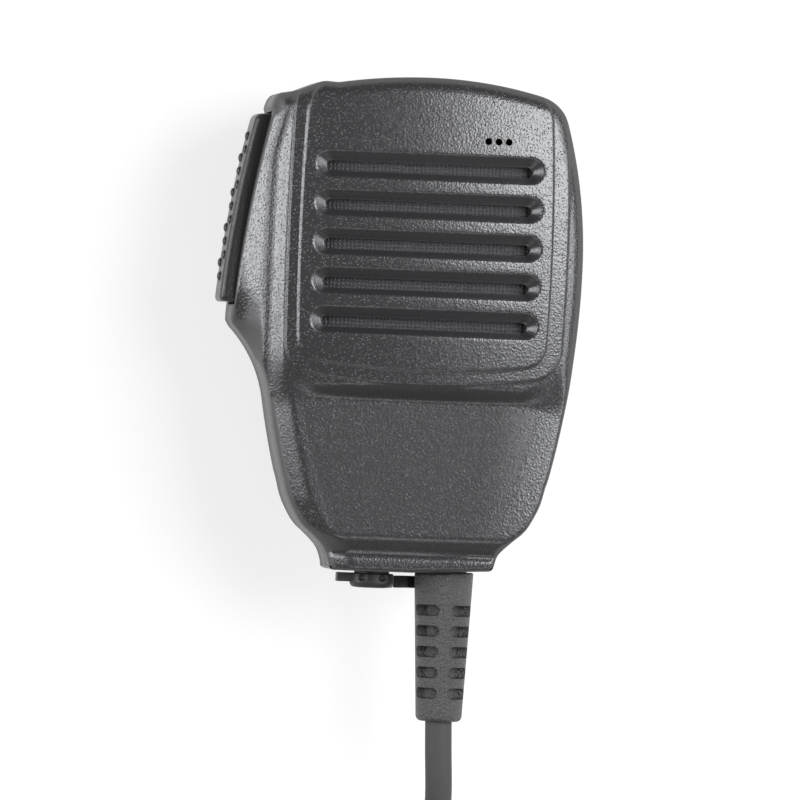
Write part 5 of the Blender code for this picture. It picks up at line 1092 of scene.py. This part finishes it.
CLIP_Y = -0.0060
CLIP_HALF_WIDTH = 0.0080
CLIP_PLATE_TOP = 0.0180
CLIP_PLATE_BOTTOM = -0.0215
CLIP_PLATE_THICKNESS = 0.0020
CLIP_GAP = 0.0053
CLIP_LEVER_THICKNESS = 0.0018
CLIP_LEVER_TOP = 0.0250
CLIP_PIVOT_Y = 0.0140
CLIP_PIN_RADIUS = 0.0010
CLIP_EAR_THICKNESS = 0.0015
CLIP_JAW_LENGTH = 0.0028
WASHER_THICKNESS = 0.0006
SWIVEL_RADIUS = 0.0020
SWIVEL_HEAD_RADIUS = 0.0034
SWIVEL_HEAD_HEIGHT = 0.0014
SWIVEL_TOP = 0.0047
SWIVEL_BOSS_RADIUS = 0.0040
SWIVEL_BOSS_TOP = 0.0056
PLATE_HIGH_Z = -(WASHER_THICKNESS + 2 * SEAT)
PLATE_LOW_Z = PLATE_HIGH_Z - CLIP_PLATE_THICKNESS
LEVER_HIGH_Z = PLATE_LOW_Z - CLIP_GAP
LEVER_LOW_Z = LEVER_HIGH_Z - CLIP_LEVER_THICKNESS
PIVOT = (0, CLIP_Y + CLIP_PIVOT_Y, (PLATE_LOW_Z + LEVER_HIGH_Z) / 2)


def cross_recess(x, y, low, size, depth):
    """The cross for a screwdriver, cut upward into a head."""
    arm, width = size / 2, 0.16 * size
    across = block((x - arm, y - width, low - 0.001), (x + arm, y + width, low + depth))
    along = block((x - width, y - arm, low - 0.001), (x + width, y + arm, low + depth))
    return shaped(across, ("UNION", along))


def build_screws():
    low, seat = SCREW_SUNK, SCREW_SUNK + SCREW_HEAD_HEIGHT
    profile = [(0, low), (SCREW_HEAD_RADIUS - 0.0004, low), (SCREW_HEAD_RADIUS, low + 0.0004)]
    profile += [(SCREW_HEAD_RADIUS, seat), (SCREW_SHANK_RADIUS, seat)]
    profile += [(SCREW_SHANK_RADIUS, SCREW_LENGTH), (0, SCREW_LENGTH + 0.0006)]
    for i, (x, y) in enumerate(SCREW_PLACES):
        body = cut(turned(profile, at=(x, y, 0), steps=40), cross_recess(x, y, low, 0.0026, 0.0008))
        nodes = [f"case_screw_{i + 1}"]
        finish_piece(f"back_screw_{i + 1}", body, "case", STEEL_LOOK, nodes, 35)


def pin_lugs(outer, thickness, radius, root, turn):
    """A pair of lugs on the clip's pin: straight sides from a root to a round end."""
    y, tip = PIVOT[1:]
    outline = [(y - radius, root), (y - radius, tip), *arc((y, tip), radius, math.pi, turn, 16)[1:-1]]
    outline += [(y + radius, tip), (y + radius, root)]
    sides = [sorted((side * outer, side * (outer - thickness))) for side in (-1, 1)]
    return joined(*[prism(outline, low, high, "X") for low, high in sides])


def pin_bore(reach):
    """The pin's hole, through both lugs."""
    return round_bar(CLIP_PIN_RADIUS + SEAT, -reach, reach, PIVOT, "X")


def build_clip_plate():
    low, high = PLATE_LOW_Z, PLATE_HIGH_Z
    length = CLIP_PLATE_TOP - CLIP_PLATE_BOTTOM
    middle = CLIP_Y + (CLIP_PLATE_TOP + CLIP_PLATE_BOTTOM) / 2
    plate = prism(rounded(2 * CLIP_HALF_WIDTH, length, 0.0025, 8, (0, middle)), low, high)
    lugs = pin_lugs(CLIP_HALF_WIDTH, CLIP_EAR_THICKNESS, 0.0024, low + 0.0005, 2 * math.pi)
    hole = round_bar(SWIVEL_RADIUS + SEAT, low - 0.001, high + 0.001, (0, CLIP_Y, 0))
    holes = joined(hole, pin_bore(CLIP_HALF_WIDTH + 0.001))
    body = shaped(plate, ("UNION", lugs), ("DIFFERENCE", holes))
    finish_piece("clip_base", body, "clip", CLIP_LOOK, ["clip_plate"], bevel=0.00025)


def build_clip_lever():
    """The outer jaw: a flat lever, bent at its end to bite on the plate, with two lugs on the pin."""
    low, high = LEVER_LOW_Z, LEVER_HIGH_Z
    top = CLIP_Y + CLIP_LEVER_TOP
    bottom = CLIP_Y + CLIP_PLATE_BOTTOM - 0.6 * MM
    bite = PLATE_LOW_Z - SEAT
    side = [(bottom + 0.8 * MM, low), (bottom, low + 0.8 * MM)]
    for i in range(3):
        y = bottom + CLIP_JAW_LENGTH * i / 3
        side += [(y + 0.05 * MM, bite), (y + CLIP_JAW_LENGTH / 6, bite - 0.5 * MM)]
    jaw = bottom + CLIP_JAW_LENGTH
    side += [(jaw, bite), (jaw + 1.2 * MM, high + 0.4 * MM), (jaw + 2.2 * MM, high)]
    side += [(top - 7.0 * MM, high), (top - 1.0 * MM, high + 0.8 * MM), (top, high + 0.2 * MM)]
    side += [(top - 0.6 * MM, low + 0.6 * MM), (top - 2.4 * MM, low)]
    lever = prism(side, -CLIP_HALF_WIDTH, CLIP_HALF_WIDTH, "X")
    half = CLIP_HALF_WIDTH - CLIP_EAR_THICKNESS - 0.4 * MM
    lugs = pin_lugs(half, 1.8 * MM, 2.1 * MM, high - 0.5 * MM, 0)
    grooves = []
    for i in range(5):
        reach, y = CLIP_HALF_WIDTH - 2 * MM, top - 3.2 * MM - i * 1.3 * MM
        corner = (reach, y + 0.25 * MM, low + 0.3 * MM)
        grooves.append(block((-reach, y - 0.25 * MM, low - 1 * MM), corner))
    holes = joined(pin_bore(half + 0.001), *grooves)
    body = shaped(lever, ("UNION", lugs), ("DIFFERENCE", holes))
    finish_piece("clip_jaw_lever", body, "lever", CLIP_LOOK, ["clip_lever"], bevel=0.00022)


def build_swivel_screw():
    r, high = SWIVEL_HEAD_RADIUS, PLATE_LOW_Z - SEAT
    low, top = high - SWIVEL_HEAD_HEIGHT, SWIVEL_TOP
    profile = [(0, low), (r - 0.0007, low), (r - 0.0002, low + 0.0003), (r, low + 0.0007), (r, high)]
    profile += [(SWIVEL_RADIUS, high), (SWIVEL_RADIUS, top), (0, top)]
    body = cut(turned(profile, at=(0, CLIP_Y, 0)), cross_recess(0, CLIP_Y, low, 0.0040, 0.0009))
    finish_piece("clip_screw", body, "case", STEEL_LOOK, ["swivel_screw"], 35)


# Cord, coil and plug

FLOOR_Z = -ORIGIN.z
COIL_LOW_Z = FLOOR_Z + 0.00005 + CORD_RADIUS
COIL_OUTER = COIL_MEAN_RADIUS + COIL_PITCH
CORD_START = (BOOT_X, BOOT_END_Y + 0.0006, AXIS_Z)
CORD_ROUTE = (
    (0.0062, -0.0800, 0.0110),
    (0.0066, -0.0860, 0.0099),
    (0.0071, -0.0925, 0.0066),
    (0.0088, -0.0990, 0.0016),
    (0.0111, -0.1045, -0.0032),
    (0.0130, -0.1093, -0.0064),
    (0.0138, -0.1138, -0.0079),
)
COIL_ENTRY = ((0.0139, -0.1185, COIL_LOW_Z), (0.0139, -0.1240, COIL_LOW_Z))
# Degrees of winding at which the cord shifts to the next place in the bundle: outwards, then upwards
COIL_SHIFTS = (
    (285, 325, -1, 0),
    (645, 685, -1, 0),
    (955, 995, 0, 1),
    (1265, 1305, 1, 0),
    (1625, 1665, 1, 0),
    (1935, 1975, 0, 1),
)
COIL_DEGREES = 2150
PLUG_AXIS_Z = FLOOR_Z + 0.00425
LEAD_ROUTE = (
    (0.0290, -0.0140, 0.0005),
    (0.0298, -0.0200, -0.0015),
    (0.0297, -0.0265, -0.0040),
    (0.0267, -0.0325, -0.0056),
    (0.0222, -0.0356, -0.0060),
    (0.0180, -0.0360, PLUG_AXIS_Z),
)
# Millimetres: from the plug's start to its pin, and from there to the insulating rings
PIN_START = 30.6
PLUG_RINGS = {"plug_ring_near": 5.2, "plug_ring_far": 8.0}


def coil_point(degrees):
    """The cord's middle after this much winding, clockwise from the coil's right side."""
    radius, height = COIL_OUTER, COIL_LOW_Z
    for start, end, outward, upward in COIL_SHIFTS:
        share = float(smooth_step(degrees, start, end))
        radius += outward * COIL_PITCH * share
        height += upward * COIL_PITCH * share
    angle = -math.radians(degrees)
    return COIL_X + radius * math.cos(angle), COIL_Y + radius * math.sin(angle), height


def cord_path():
    free = smooth_curve([CORD_START, *CORD_ROUTE, *COIL_ENTRY, coil_point(0)], 4)
    turns = [coil_point(d) for d in np.arange(10, COIL_DEGREES, 10)]
    lead = [(COIL_X + x, COIL_Y + y, z) for x, y, z in LEAD_ROUTE]
    tail = smooth_curve([coil_point(COIL_DEGREES), *lead], 4)
    return [Vector(tuple(p)) + ORIGIN for p in [*free, *turns, *tail]]


def tube_along(path, radius, sides=20):
    """A tube whose rings are carried along a path without twisting."""
    rows = []
    across = None
    for i, point in enumerate(path):
        ahead = (path[min(i + 1, len(path) - 1)] - path[max(i - 1, 0)]).normalized()
        across = ahead.cross(Vector((0, 0, 1))) if across is None else across - ahead * across.dot(ahead)
        across.normalize()
        up = ahead.cross(across)
        turns = np.linspace(0, 2 * math.pi, sides + 1)
        rows.append([point + radius * (math.cos(a) * across + math.sin(a) * up) for a in turns])
    rows = np.array([[tuple(p) for p in row] for row in rows])
    return wrapped(rows[:, :, 0], rows[:, :, 1], rows[:, :, 2])


def build_cord(plug):
    path = cord_path()
    bm = tube_along(path, CORD_RADIUS)
    bmesh.ops.translate(bm, vec=-ORIGIN, verts=bm.verts)
    cord = finish_piece("mic_cord", bm, "case", CORD_LOOK, CORD_NODES, 60)


def build_plug():
    """The plug on the cord's end: a ribbed relief, a waisted grip and a three-pole pin, along -X."""
    x, y, z = LEAD_ROUTE[-1][0] + COIL_X - SEAT, LEAD_ROUTE[-1][1] + COIL_Y, PLUG_AXIS_Z
    relief = [(0, 0), (2.3, 0), (2.5, -0.3)]
    for i in range(5):
        start, r = -1.2 - i * 2.0, 2.55 + 0.14 * i
        relief += [(r, start), (r - 0.5, start - 0.25), (r - 0.5, start - 0.85), (r + 0.1, start - 1.1)]
    relief += [(3.2, -12), (0, -12)]
    grip = [(0, 0), (3.3, 0), (4.0, -0.5), (4.2, -1.6), (4.1, -4.5)]
    for i in range(6):
        start = -5.0 - i * 1.3
        grip += [(4.05, start), (3.75, start - 0.2), (3.75, start - 0.6), (4.05, start - 0.8)]
    grip += [(4.15, -14.5), (4.2, -16.6), (3.9, -17.7), (3.2, -18), (0, -18)]
    pin = [(0, 0), (2.6, 0), (2.6, -1.2), (1.75, -1.2)]
    for start in PLUG_RINGS.values():
        pin += [(1.75, -start), (1.66, -start), (1.66, -(start + 0.7)), (1.75, -(start + 0.7))]
    pin += [(1.75, -10.7), (1.25, -11.5), (1.22, -11.9), (1.6, -12.5)]
    pin += [(1.5, -12.9), (0.7, -13.8), (0.25, -14), (0, -14)]
    pieces = []
    for name, profile, look, slot, nodes, along, soft in (
        ("plug_boot", relief, BOOT_LOOK, "plug_rubber", ["plug_relief"], 0, 0.15),
        ("plug_barrel", grip, BOOT_LOOK, "plug_rubber", ["plug_grip"], 12.3, 0.12),
        ("plug_tip", pin, NICKEL_LOOK, "nickel", ["plug_pin"], PIN_START, 0.05),
    ):
        profile = [(r * MM, h * MM) for r, h in profile]
        body = turned(softened(profile, soft * MM, 2), "X", (x - along * MM, y, z), 48)
        pieces.append(finish_piece(name, body, "case", look, nodes))
    ring = [(r * MM, h * MM) for r, h in rectangle(1.60, 1.72, 0, -0.7)]
    for name, start in PLUG_RINGS.items():
        body = turned(ring, "X", (x - (PIN_START + start) * MM, y, z), 40, closed=True)
        pieces.append(finish_piece(name, body, "case", DARK_LOOK))
    return pieces


# Materials


def new_look(name, colour, roughness, metallic=0.0, gloss=0.5):
    look = bpy.data.materials.new(name)
    look.use_nodes = True
    sockets = shader_of(look).inputs
    sockets["Base Color"].default_value = (*colour, 1)
    sockets["Roughness"].default_value = roughness
    sockets["Metallic"].default_value = metallic
    sockets["Specular IOR Level"].default_value = gloss
    return look


def node(look, kind, **values):
    made = look.node_tree.nodes.new(kind)
    for name, value in values.items():
        if name in made.inputs.keys():
            made.inputs[name].default_value = value
        else:
            setattr(made, name, value)
    return made


def link(look, source, target):
    look.node_tree.links.new(source, target)


def shader_of(look):
    return look.node_tree.nodes["Principled BSDF"]


def place_of(look):
    return node(look, "ShaderNodeTexCoord").outputs["Object"]


def noise(look, size):
    made = node(look, "ShaderNodeTexNoise", Scale=1 / size, Detail=3.0, Roughness=0.5)
    link(look, place_of(look), made.inputs["Vector"])
    return made.outputs["Fac"]


def cells(look, size, smooth=0.5):
    """Rounded pebbles of about this size, like moulded leather grain."""
    made = node(look, "ShaderNodeTexVoronoi", feature="SMOOTH_F1", Scale=1 / size, Smoothness=smooth)
    link(look, place_of(look), made.inputs["Vector"])
    return made.outputs["Distance"]


def ranged(look, value, low, high, to_low, to_high):
    made = node(look, "ShaderNodeMapRange")
    for i, number in enumerate((low, high, to_low, to_high)):
        made.inputs[i + 1].default_value = number
    link(look, value, made.inputs[0])
    return made.outputs[0]


def combine(look, operation, first, second):
    made = node(look, "ShaderNodeMath", operation=operation)
    for i, value in enumerate((first, second)):
        if isinstance(value, (int, float)):
            made.inputs[i].default_value = value
        else:
            link(look, value, made.inputs[i])
    return made.outputs[0]


def tint(look, value, dark, light):
    """Base colour running between two colours with a value."""
    made = node(look, "ShaderNodeMix", data_type="RGBA")
    colours = [socket for socket in made.inputs if socket.type == "RGBA"]
    colours[0].default_value = (*dark, 1)
    colours[1].default_value = (*light, 1)
    link(look, value, made.inputs[0])
    result = [socket for socket in made.outputs if socket.type == "RGBA"][0]
    link(look, result, shader_of(look).inputs["Base Color"])


def bumped(look, value, height):
    made = node(look, "ShaderNodeBump", Distance=height, Strength=1.0)
    link(look, value, made.inputs["Height"])
    link(look, made.outputs["Normal"], shader_of(look).inputs["Normal"])


def patchy(look, size, low, high):
    """A number that drifts between two values over patches of this size."""
    return ranged(look, noise(look, size), 0.3, 0.7, low, high)


def roughened(look, value):
    link(look, value, shader_of(look).inputs["Roughness"])


PEBBLE_SIZE = 0.00036
GRIT_SIZE = 0.00038
SPECK_SIZE = 0.00024
GRAIN_DEPTH = 0.000033


def case_look():
    """Fine pebbles with sharper grit between them, as strong as painted; rougher on the steep walls."""
    look = new_look("moulded case plastic", (0.020, 0.020, 0.021), 0.26, gloss=1.0)
    grain = node(look, "ShaderNodeAttribute", attribute_name="grain").outputs["Fac"]
    steep = node(look, "ShaderNodeAttribute", attribute_name="steep").outputs["Fac"]
    small = combine(look, "MULTIPLY", noise(look, SPECK_SIZE), 0.7)
    pebbles = combine(look, "ADD", cells(look, PEBBLE_SIZE), small)
    grit = ranged(look, cells(look, GRIT_SIZE, 0.0), 0.0, 0.30, 1.5, 0.0)
    bumped(look, combine(look, "MULTIPLY", combine(look, "ADD", pebbles, grit), grain), GRAIN_DEPTH)
    more = combine(look, "MULTIPLY", steep, 0.34)
    roughened(look, combine(look, "ADD", patchy(look, 0.0004, 0.25, 0.30), more))
    tint(look, noise(look, 0.0005), (0.017, 0.017, 0.018), (0.023, 0.023, 0.0245))
    return look


def rubber_look(name, colour, roughness, size, height, gloss=0.5):
    look = new_look(name, colour, roughness, gloss=gloss)
    bumped(look, combine(look, "ADD", cells(look, size), noise(look, size / 2)), height)
    tint(look, noise(look, 0.003), tuple(0.8 * c for c in colour), colour)
    roughened(look, patchy(look, 0.0015, roughness - 0.05, roughness + 0.05))
    return look


def metal_look(name, colour, roughness):
    look = new_look(name, colour, roughness, 1.0)
    bumped(look, noise(look, 0.0003), 0.000004)
    roughened(look, patchy(look, 0.0010, roughness - 0.06, roughness + 0.08))
    return look


def plain_look(name, colour, roughness, size=0.0008, height=0.00001, gloss=0.5):
    look = new_look(name, colour, roughness, gloss=gloss)
    bumped(look, noise(look, size), height)
    tint(look, noise(look, 0.002), tuple(0.85 * c for c in colour), colour)
    return look


def cloth_look():
    """A plain weave: two crossed waves, with a little fluff."""
    look = new_look("grille cloth", (0.05, 0.05, 0.05), 0.55)
    threads = []
    for direction in "XY":
        wave = node(look, "ShaderNodeTexWave", wave_type="BANDS", Scale=500.0, Distortion=2.5, Detail=1.0)
        wave.bands_direction = direction
        link(look, place_of(look), wave.inputs["Vector"])
        threads.append(wave.outputs["Fac"])
    fluff = combine(look, "MULTIPLY", noise(look, 0.0003), 0.8)
    weave = combine(look, "ADD", combine(look, "MULTIPLY", *threads), fluff)
    bumped(look, weave, 0.00016)
    tint(look, weave, (0.012, 0.012, 0.013), (0.066, 0.066, 0.069))
    return look


CASE_LOOK = case_look()
KEY_LOOK = rubber_look("talk key rubber", (0.020, 0.020, 0.021), 0.34, 0.0004, 0.00003)
CAP_LOOK = rubber_look("cap rubber", (0.020, 0.020, 0.020), 0.50, 0.0004, 0.00003)
BOOT_LOOK = rubber_look("boot rubber", (0.066, 0.064, 0.062), 0.42, 0.00042, 0.00022, 0.6)
CLIP_LOOK = rubber_look("clip plastic", (0.022, 0.022, 0.024), 0.42, 0.0005, 0.00003)
CORD_LOOK = plain_look("cord jacket", (0.076, 0.075, 0.074), 0.60, gloss=0.2)
DARK_LOOK = plain_look("black plastic", (0.015, 0.015, 0.016), 0.45)
FOAM_LOOK = plain_look("gasket foam", (0.025, 0.025, 0.026), 0.85, 0.0004, 0.00006)
FELT_LOOK = plain_look("capsule felt", (0.006, 0.006, 0.006), 0.95, 0.0002, 0.00004, gloss=0.05)
PAPER_LOOK = plain_look("speaker paper", (0.030, 0.028, 0.026), 0.75, 0.0006, 0.00004)
IVORY_LOOK = plain_look("ivory plastic", (0.75, 0.72, 0.63), 0.45)
BOARD_LOOK = plain_look("board laminate", (0.020, 0.110, 0.050), 0.35)
STEEL_LOOK = metal_look("plated steel", (0.58, 0.58, 0.60), 0.30)
NICKEL_LOOK = metal_look("nickel plate", (0.66, 0.64, 0.60), 0.18)
CLOTH_LOOK = cloth_look()

CORD_NODES = ["cord", "cord_coil", "cord_lead"]
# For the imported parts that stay: how far apart doubled points may lie, and how wide edges are softened
JOIN_DISTANCE = 0.000001
INNER_EDGE_WIDTH = 0.00008
# Their finishes, by how their names start
INNER_LOOKS = (
    (STEEL_LOOK, ("case_screw", "board_screw", "speaker_frame", "speaker_magnet", "board_capacitor")),
    (STEEL_LOOK, ("ptt_pivot_pin", "cord_ferrule", "clip_pin", "clip_spring", "swivel_washer")),
    (DARK_LOOK, ("ptt_switch_body", "earphone_jack")),
    (IVORY_LOOK, ("ptt_switch_plunger", "board_connector")),
    (PAPER_LOOK, ("speaker_cone",)),
    (FOAM_LOOK, ("speaker_gasket",)),
    (CLOTH_LOOK, ("grille_cloth",)),
    (CAP_LOOK, ("mic_holder",)),
    (FELT_LOOK, ("mic_capsule",)),
    (BOARD_LOOK, ("circuit_board",)),
    (CORD_LOOK, ("cord_tail",)),
)


def dress_inner_parts():
    """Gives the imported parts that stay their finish, with their facets joined and their edges softened."""
    for name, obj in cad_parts.items():
        if obj.hide_render:
            continue
        obj.data.materials.clear()
        obj.data.materials.append(next(look for look, starts in INNER_LOOKS if name.startswith(starts)))
        weld = obj.modifiers.new("joined", "WELD")
        weld.merge_threshold = JOIN_DISTANCE
        soft = obj.modifiers.new("edges", "BEVEL")
        soft.width = INNER_EDGE_WIDTH
        soft.segments = 2
        soft.limit_method = "ANGLE"
        soft.angle_limit = math.radians(40)


build_front_shell()
build_rear_shell()
build_key()
build_boot()
build_cap()
build_strap()
build_screws()
build_clip_plate()
build_clip_lever()
build_swivel_screw()
build_cord(build_plug())
dress_inner_parts()


# Floor, lamps and camera

FLOOR_WHITE = 0.32
WORLD_STRENGTH = 0.20
LAMP_DISTANCE = 0.80
LAMP_COLOUR = (0.965, 0.975, 1.0)
# Each lamp's tilt towards +X and turn towards +Y in degrees, its two sizes and its brightness
LAMPS = {
    "right panel": (30, 11, (0.42, 0.38), 10.0),
    "low right panel": (57, 3, (0.90, 0.24), 4.6),
    "left panel": (-49, 5, (0.50, 0.17), 6.5),
    "foot panel": (4, -50, (0.60, 0.16), 2.4),
    "low left panel": (-77, 4, (0.40, 0.30), 9.5),
}
CAMERA_TURN_DEG = 6.25
CAMERA_ROLL_DEG = 2.2
CAMERA_LENS = 456
CAMERA_DISTANCE = 1.6
CAMERA_AIM = (-0.00362, -0.02448, CROWN_Z)


def build_floor():
    """A white floor that looks lit to the camera and in mirrors, yet keeps the shadow on it."""
    bm = bmesh.new()
    bmesh.ops.create_grid(bm, x_segments=1, y_segments=1, size=3.0)
    floor = made_object("floor", bm)
    look = new_look("white floor", (FLOOR_WHITE, FLOOR_WHITE, FLOOR_WHITE), 0.9, gloss=0.0)
    glow = node(look, "ShaderNodeEmission", Strength=1 - FLOOR_WHITE)
    total = node(look, "ShaderNodeAddShader")
    both = node(look, "ShaderNodeMixShader")
    rays = node(look, "ShaderNodeLightPath").outputs
    surface = shader_of(look).outputs[0]
    link(look, surface, total.inputs[0])
    link(look, glow.outputs[0], total.inputs[1])
    mirrored = combine(look, "MAXIMUM", rays["Is Glossy Ray"], rays["Is Transmission Ray"])
    link(look, combine(look, "MAXIMUM", rays["Is Camera Ray"], mirrored), both.inputs[0])
    link(look, surface, both.inputs[1])
    link(look, total.outputs[0], both.inputs[2])
    link(look, both.outputs[0], look.node_tree.nodes["Material Output"].inputs["Surface"])
    floor.data.materials.append(look)


def light_world():
    world = bpy.data.worlds.new("studio")
    bpy.context.scene.world = world
    world.use_nodes = True
    surround = world.node_tree.nodes["Background"]
    surround.inputs["Color"].default_value = (1.0, 1.0, 1.0, 1.0)
    surround.inputs["Strength"].default_value = WORLD_STRENGTH


def add_lamp(name, tilt, turn, size, brightness):
    """A soft panel lamp that faces the middle of the case."""
    data = bpy.data.lights.new(name, "AREA")
    data.shape = "RECTANGLE"
    data.size, data.size_y = size
    data.energy = brightness * math.pi * size[0] * size[1]
    data.color = LAMP_COLOUR
    lamp = bpy.data.objects.new(name, data)
    tilt, turn = math.radians(tilt), math.radians(turn)
    toward = Vector((math.sin(tilt), math.sin(turn), math.cos(tilt) * math.cos(turn))).normalized()
    lamp.location = ORIGIN + Vector((0, 0, CROWN_Z)) + toward * LAMP_DISTANCE
    lamp.rotation_mode = "QUATERNION"
    lamp.rotation_quaternion = toward.to_track_quat("Z", "Y")
    bpy.context.scene.collection.objects.link(lamp)


def add_camera():
    """A long lens over the front, turned a little to its right and rolled."""
    turn, roll = math.radians(CAMERA_TURN_DEG), math.radians(CAMERA_ROLL_DEG)
    right = Vector((math.cos(turn), 0, math.sin(turn)))
    back = Vector((-math.sin(turn), 0, math.cos(turn)))
    up = Vector((0, 1, 0))
    rolled_right = math.cos(roll) * right + math.sin(roll) * up
    rolled_up = math.cos(roll) * up - math.sin(roll) * right
    data = bpy.data.cameras.new("camera")
    data.lens = CAMERA_LENS
    data.sensor_width = 36
    data.clip_start = 0.01
    data.clip_end = 20
    camera = bpy.data.objects.new("camera", data)
    place = Matrix((rolled_right, rolled_up, back)).transposed().to_4x4()
    place.translation = ORIGIN + Vector(CAMERA_AIM) + back * CAMERA_DISTANCE
    camera.matrix_world = place
    bpy.context.scene.collection.objects.link(camera)
    bpy.context.scene.camera = camera


build_floor()
light_world()
for lamp_name, numbers in LAMPS.items():
    add_lamp(lamp_name, *numbers)
add_camera()
bpy.context.scene.view_settings.view_transform = "Standard"
